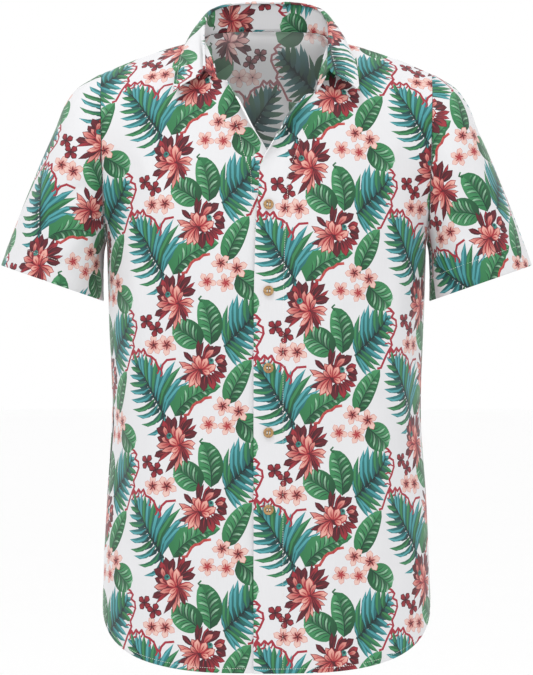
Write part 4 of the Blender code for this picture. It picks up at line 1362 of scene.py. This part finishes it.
def stitch_tree(material):
    """Geometry Nodes that sew along a path whose points carry the way out of the cloth."""
    tree = bpy.data.node_groups.new("Sew along a path", "GeometryNodeTree")
    face = tree.interface
    face.new_socket("Geometry", in_out="INPUT", socket_type="NodeSocketGeometry")
    for label, value in STITCH.items():
        socket = face.new_socket(label, in_out="INPUT", socket_type="NodeSocketFloat")
        socket.default_value = value * MM
    face.new_socket("Geometry", in_out="OUTPUT", socket_type="NodeSocketGeometry")
    start = add_node(tree, "NodeGroupInput")
    path = add_node(tree, "GeometryNodeMeshToCurve", None, {"Mesh": start.outputs["Geometry"]})
    spots = add_node(tree, "GeometryNodeCurveToPoints", None,
                     {"Curve": path.outputs["Curve"], "Length": start.outputs["Stitch pitch"]},
                     mode="LENGTH")
    out = add_node(tree, "GeometryNodeInputNamedAttribute", {"Name": "out"},
                   data_type="FLOAT_VECTOR")
    along = add_node(tree, "FunctionNodeAlignRotationToVector", None,
                     {"Vector": spots.outputs["Tangent"]}, axis="X")
    flat_on = add_node(tree, "FunctionNodeAlignRotationToVector", None,
                       {"Rotation": along.outputs["Rotation"], "Vector": out.outputs["Attribute"]},
                       axis="Z", pivot_axis="X")
    thread = add_node(tree, "GeometryNodeMeshUVSphere", {"Segments": 6, "Rings": 4,
                                                         "Radius": 0.5})
    size = add_node(tree, "ShaderNodeCombineXYZ", None,
                    {"X": start.outputs["Stitch length"], "Y": start.outputs["Thread width"],
                     "Z": start.outputs["Thread width"]})
    shaped = add_node(tree, "GeometryNodeTransform", None,
                      {"Geometry": thread.outputs["Mesh"], "Scale": size.outputs["Vector"]})
    sewn = add_node(tree, "GeometryNodeInstanceOnPoints", None,
                    {"Points": spots.outputs["Points"], "Instance": shaped.outputs["Geometry"],
                     "Rotation": flat_on.outputs["Rotation"]})
    real = add_node(tree, "GeometryNodeRealizeInstances", None,
                    {"Geometry": sewn.outputs["Instances"]})
    dressed = add_node(tree, "GeometryNodeSetMaterial", {"Material": material},
                       {"Geometry": real.outputs["Geometry"]})
    add_node(tree, "NodeGroupOutput", None, {"Geometry": dressed.outputs["Geometry"]})
    return tree


thread = thread_material()
sewing = stitch_tree(thread)

# %% Stitch paths
PATH_POINTS, PATH_ROUNDS, THREAD_LIFT = 260, 6, 0.12


def seam_path(sheet, side, gap, start, stop):
    """Points and ways out of a line that keeps its distance from one edge of a piece."""
    size_r, size_c = sheet["rows"][-1], sheet["columns"][-1]
    t = np.linspace(start, stop, PATH_POINTS)
    r = {"low": t * 0, "high": t * 0 + size_r}.get(side, t * size_r)
    c = {"left": t * 0, "right": t * 0 + size_c}.get(side, t * size_c)
    home = spread(sheet, "flat", r, c)
    for _ in range(PATH_ROUNDS):
        off = np.linalg.norm(spread(sheet, "flat", r, c) - home, axis=1)
        move = (gap - off) * (1 if side in ("low", "left") else -1)
        if side in ("low", "high"):
            r = np.clip(r + move, 0, size_r)
        else:
            c = np.clip(c + move, 0, size_c)
    out = facing(sheet, r, c)
    return (worn(sheet, r, c)[0] + out * THREAD_LIFT) * MM, out


def sew(name, paths):
    """Sew stitches along paths and return them as one plain mesh piece."""
    points, outs, links = [], [], []
    for path, out in paths:
        links += [(len(points) + k, len(points) + k + 1) for k in range(len(path) - 1)]
        points += path.tolist()
        outs += out.tolist()
    mesh = bpy.data.meshes.new(name + "_path")
    mesh.from_pydata(points, links, [])
    way = mesh.attributes.new("out", "FLOAT_VECTOR", "POINT")
    way.data.foreach_set("vector", np.array(outs, dtype=np.float32).ravel())
    carrier = place_in_scene(name + "_path", mesh)
    modifier = carrier.modifiers.new("sew", "NODES")
    modifier.node_group = sewing
    for item in sewing.interface.items_tree:
        if item.in_out == "INPUT" and item.name in STITCH:
            modifier[item.identifier] = STITCH[item.name] * MM
    graph = bpy.context.evaluated_depsgraph_get()
    result = bpy.data.meshes.new_from_object(carrier.evaluated_get(graph))
    bpy.data.objects.remove(carrier)
    for face in result.polygons:
        face.use_smooth = True
    print(name, len(result.polygons), "faces of thread")
    return place_in_scene(name, result)


STITCH_LINES = {  # piece: edge, distance from it, start and end along it
    "front_left": [("low", HEM, 0.0, 1.0), ("left", BAND, 0.01, 0.80)],
    "front_right": [("low", HEM, 0.0, 1.0), ("left", UNDER_BAND, 0.01, 0.80)],
    "back": [("low", HEM, 0.0, 1.0)],
    "sleeve_left": [("high", CUFF, 0.0, 1.0)], "sleeve_right": [("high", CUFF, 0.0, 1.0)],
    "collar_leaf": [("high", COLLAR_STITCH, 0.02, 0.98), ("left", COLLAR_STITCH, 0.36, 0.96),
                    ("right", COLLAR_STITCH, 0.36, 0.96)]}
stitches = {name: sew(name + "_stitches",
                      [seam_path(sheets[name], edge, wide - STITCH_IN, start, stop)
                       for edge, wide, start, stop in lines])
            for name, lines in STITCH_LINES.items()}

# %% [markdown]
# ## Coconut shell buttons
# Buttons on holiday shirts are often turned from coconut shell: a warm light brown disc with
# short dark fibres, a dished middle and four holes. The disc is turned as a profile, the holes
# are cut by four drills, and pale thread crosses between them.

# %% Button material
def coconut():
    """Turned coconut shell with short fibres."""
    material, tree = new_material("coconut_shell_button")
    place = add_node(tree, "ShaderNodeTexCoord")
    stretched = add_node(tree, "ShaderNodeMapping", {"Scale": (1.0, 1.0, 0.25)},
                         {"Vector": place.outputs["Object"]})
    fibre = add_node(tree, "ShaderNodeTexNoise", {"Scale": 2600.0, "Detail": 3.0},
                     {"Vector": stretched.outputs["Vector"]})
    cloud = add_node(tree, "ShaderNodeTexNoise", {"Scale": 420.0, "Detail": 2.0},
                     {"Vector": place.outputs["Object"]})
    tone = add_node(tree, "ShaderNodeValToRGB", None,
                    {"Fac": multiply_add(tree, fibre.outputs["Fac"], 0.55, cloud.outputs["Fac"])})
    low, high = tone.color_ramp.elements
    low.position, high.position = 0.45, 1.0
    low.color, high.color = (*ink("5E3F22"), 1), (*ink("B8965F"), 1)
    tone.color_ramp.elements.new(0.7).color = (*ink("997043"), 1)
    relief = add_node(tree, "ShaderNodeBump", {"Strength": 0.3, "Distance": 0.0001},
                      {"Height": fibre.outputs["Fac"]})
    finish_shader(tree, {"Roughness": 0.38, "IOR": 1.5, "Coat Weight": 0.15},
                  {"Base Color": tone.outputs["Color"], "Normal": relief.outputs["Normal"]})
    return material


coconut_shell = coconut()

# %% Turn the buttons
BUTTON_WIDTH, BUTTON_THICK, BUTTON_DISH, BUTTON_SIDES = 11.5, 2.4, 0.6, 48
HOLE, PITCH, HOLE_SIDES = 1.9, 3.0, 16       # hole width, distance between holes
BUTTON_X, BUTTON_HEIGHTS, BUTTON_LIFT = 2.2, (-187.5, -284.0, -370.0, -442.0, -528.0), 0.35
STRAND, STRAND_APART, STRAND_BOW, STRAND_SINK = 0.26, 0.28, 0.45, 0.9
STRAND_SIDES, STRAND_STEPS = 8, 8


def turned(profile, sides):
    """Solid of revolution about Z from (radius, height) pairs that start and end at radius 0."""
    mesh = bmesh.new()
    rings = []
    for radius, height in profile:
        turns = [2 * math.pi * k / sides for k in range(sides if radius else 1)]
        rings.append([mesh.verts.new((radius * MM * math.cos(a), radius * MM * math.sin(a),
                                      height * MM)) for a in turns])
    for low, high in zip(rings, rings[1:]):
        for k in range(sides):
            j = (k + 1) % sides
            quad = [low[k % len(low)], low[j % len(low)], high[j % len(high)],
                    high[k % len(high)]]
            mesh.faces.new(list(dict.fromkeys(quad)))
    bmesh.ops.recalc_face_normals(mesh, faces=mesh.faces)
    return mesh


def as_object(name, mesh, material):
    """An object with smooth faces from a working mesh, which is freed."""
    data = bpy.data.meshes.new(name)
    mesh.to_mesh(data)
    mesh.free()
    data.materials.append(material)
    for face in data.polygons:
        face.use_smooth = True
    return place_in_scene(name, data)


def button_blank():
    """One button at the origin with its four holes."""
    radius, thick, dish = BUTTON_WIDTH / 2, BUTTON_THICK, BUTTON_DISH
    profile = ((0, 0), (radius * 0.7, 0), (radius * 0.92, 0.35), (radius, 1.0), (radius, 1.5),
               (radius * 0.96, 2.05), (radius * 0.88, thick), (radius * 0.76, thick),
               (radius * 0.66, thick - dish * 0.55), (radius * 0.56, thick - dish),
               (0, thick - dish))
    blank = as_object("button_blank", turned(profile, BUTTON_SIDES), coconut_shell)
    hole = HOLE / 2
    bit = ((0, -1), (hole, -1), (hole, 1.5), (hole + 0.1, 1.75), (hole + 0.4, 2.2),
           (hole + 0.4, 3), (0, 3))
    for k in range(4):
        drill = as_object("drill", turned(bit, HOLE_SIDES), coconut_shell)
        angle = math.pi / 4 + k * math.pi / 2
        reach = PITCH / math.sqrt(2) * MM
        drill.data.transform(Matrix.Translation((reach * math.cos(angle),
                                                 reach * math.sin(angle), 0)))
        cutter = blank.modifiers.new("hole", "BOOLEAN")
        cutter.operation, cutter.solver, cutter.object = "DIFFERENCE", "EXACT", drill
    graph = bpy.context.evaluated_depsgraph_get()
    done = bpy.data.meshes.new_from_object(blank.evaluated_get(graph))
    done.set_sharp_from_angle(angle=math.radians(42))
    for item in [blank] + [o for o in bpy.data.objects if o.name.startswith("drill")]:
        bpy.data.objects.remove(item)
    return done


def strand(a, b):
    """Short bowed thread between two holes, as a tube that dips into both."""
    rings, turns = [], [2 * math.pi * j / STRAND_SIDES for j in range(STRAND_SIDES)]
    mesh = bmesh.new()
    a, b, up = Vector(a), Vector(b), Vector((0, 0, 1))
    side = (b - a).normalized().cross(up).normalized()
    for k in range(STRAND_STEPS + 1):
        t = k / STRAND_STEPS
        rise = STRAND_BOW * math.sin(math.pi * t) - STRAND_SINK * (1 - min(1, 4 * t, 4 * (1 - t)))
        middle = a.lerp(b, t) + up * rise
        rings.append([mesh.verts.new((middle + (side * math.cos(s) + up * math.sin(s)) * STRAND)
                                     * MM) for s in turns])
    for low, high in zip(rings, rings[1:]):
        for j in range(STRAND_SIDES):
            k = (j + 1) % STRAND_SIDES
            mesh.faces.new((low[j], low[k], high[k], high[j]))
    mesh.faces.new(rings[0][::-1])
    mesh.faces.new(rings[-1])
    bmesh.ops.recalc_face_normals(mesh, faces=mesh.faces)
    return mesh


def front_spot(x, z):
    """Place and way out of the upper front at one width and height."""
    shape = BVHTree.FromObject(pieces["front_left"], bpy.context.evaluated_depsgraph_get())
    spot, out, _, _ = shape.ray_cast(Vector((x * MM, -1, z * MM)), Vector((0, 1, 0)))
    return spot, out


blank = button_blank()
buttons = {}
for number, height in enumerate(BUTTON_HEIGHTS, 1):
    spot, out = front_spot(BUTTON_X, height)
    turn = Vector((0, 0, 1)).rotation_difference(out).to_matrix().to_4x4()
    place = Matrix.Translation(spot + out * BUTTON_LIFT * MM) @ turn
    body = blank.copy()
    body.transform(place)
    button = place_in_scene(f"button_{number}_shell", body)
    half, top = PITCH / 2, BUTTON_THICK - BUTTON_DISH
    threads = []
    for side in (-half, half):
        for shift in (-STRAND_APART, STRAND_APART):
            tube = strand((side + shift, -half, top), (side + shift, half, top))
            item = as_object("strand", tube, thread)
            item.data.transform(place)
            threads.append(item)
    with bpy.context.temp_override(active_object=threads[0], selected_editable_objects=threads):
        bpy.ops.object.join()
    threads[0].name = f"button_{number}_thread"
    buttons[number] = (button, threads[0])
print(len(buttons), "buttons")

# %% [markdown]
# ## Attach each piece
# Every cloth piece, row of stitches, button and button thread rides on the root body, and the
# plain solid that a cloth piece or a button stands for is hidden.


for name, piece in pieces.items():
    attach(piece, "root")
    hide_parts(name)
for piece in stitches.values():
    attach(piece, "root")
for number, (button, threads) in buttons.items():
    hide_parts(f"button_{number}")
    for piece in (button, threads):
        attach(piece, "root")

# %% [markdown]
# ## Floor, light and camera
# A shirt for a catalogue is shot against white, under light so broad that the folds show only
# as soft grey. A panel high on the left shapes them, a wider and weaker one in front reaches into
# the neck, and the white room fills the rest. The camera stands far back with a long lens, level
# with the middle of the shirt.

# %% Floor and light
WHITE = 1.0
FLOOR_DARK, FLOOR_LIGHT, FLOOR_HALF, FLOOR_Z = 0.975, 0.985, 40, -1.25


def floor_material():
    """Near white, faintly uneven paper."""
    material, tree = new_material("studio_floor")
    coordinates = add_node(tree, "ShaderNodeTexCoord")
    grain_of = add_node(tree, "ShaderNodeTexNoise", {"Scale": 3.0, "Detail": 2.0},
                        {"Vector": coordinates.outputs["Object"]})
    tone = add_node(tree, "ShaderNodeMix", {6: (*[FLOOR_DARK] * 3, 1), 7: (*[FLOOR_LIGHT] * 3, 1)},
                    {"Factor": grain_of.outputs["Fac"]}, data_type="RGBA")
    finish_shader(tree, {"Roughness": 0.9}, {"Base Color": tone.outputs[2]})
    return material


floor_mesh = bpy.data.meshes.new("floor")
floor_mesh.from_pydata([(x * FLOOR_HALF, y * FLOOR_HALF, FLOOR_Z)
                        for x, y in ((-1, -1), (1, -1), (1, 1), (-1, 1))], [], [(0, 1, 2, 3)])
floor_mesh.materials.append(floor_material())
place_in_scene("floor", floor_mesh)

world = bpy.data.worlds.new("white_room")
world.use_nodes = True
background = world.node_tree.nodes["Background"]
background.inputs["Color"].default_value = (WHITE, WHITE, WHITE, 1)
background.inputs["Strength"].default_value = 1.0
bpy.context.scene.world = world
bpy.context.scene.view_settings.view_transform = "Standard"


def softbox(name, place, size, power):
    """Square panel of light, in metres and watts, aimed at the chest."""
    data = bpy.data.lights.new(name, "AREA")
    data.shape, data.size, data.energy = "SQUARE", size, power
    lamp = place_in_scene(name, data)
    lamp.location = place
    lamp.rotation_euler = (Vector(CHEST) - Vector(place)).to_track_quat("-Z", "Y").to_euler()
    return lamp


CHEST = (0, 0, -0.1)
for lamp in (softbox("key", (-0.5, -1.3, 2.3), 0.6, 27),
             softbox("fill", (0.3, -3.2, 0.4), 1.2, 6)):
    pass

# %% Camera
CAMERA_BACK, CAMERA_HEIGHT, FRAME_WIDTH, SENSOR = 4.0, -0.336, 0.613, 36.0
camera_data = bpy.data.cameras.new("camera")
camera_data.sensor_fit, camera_data.sensor_width = "HORIZONTAL", SENSOR
camera_data.lens = SENSOR * CAMERA_BACK / FRAME_WIDTH
camera = place_in_scene("camera", camera_data)
camera.location = (0.0, -CAMERA_BACK, CAMERA_HEIGHT)
camera.rotation_euler = (math.pi / 2, 0, 0)
bpy.context.scene.camera = camera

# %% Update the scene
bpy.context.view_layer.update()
print(f"{time.time() - START:.1f} s in all")
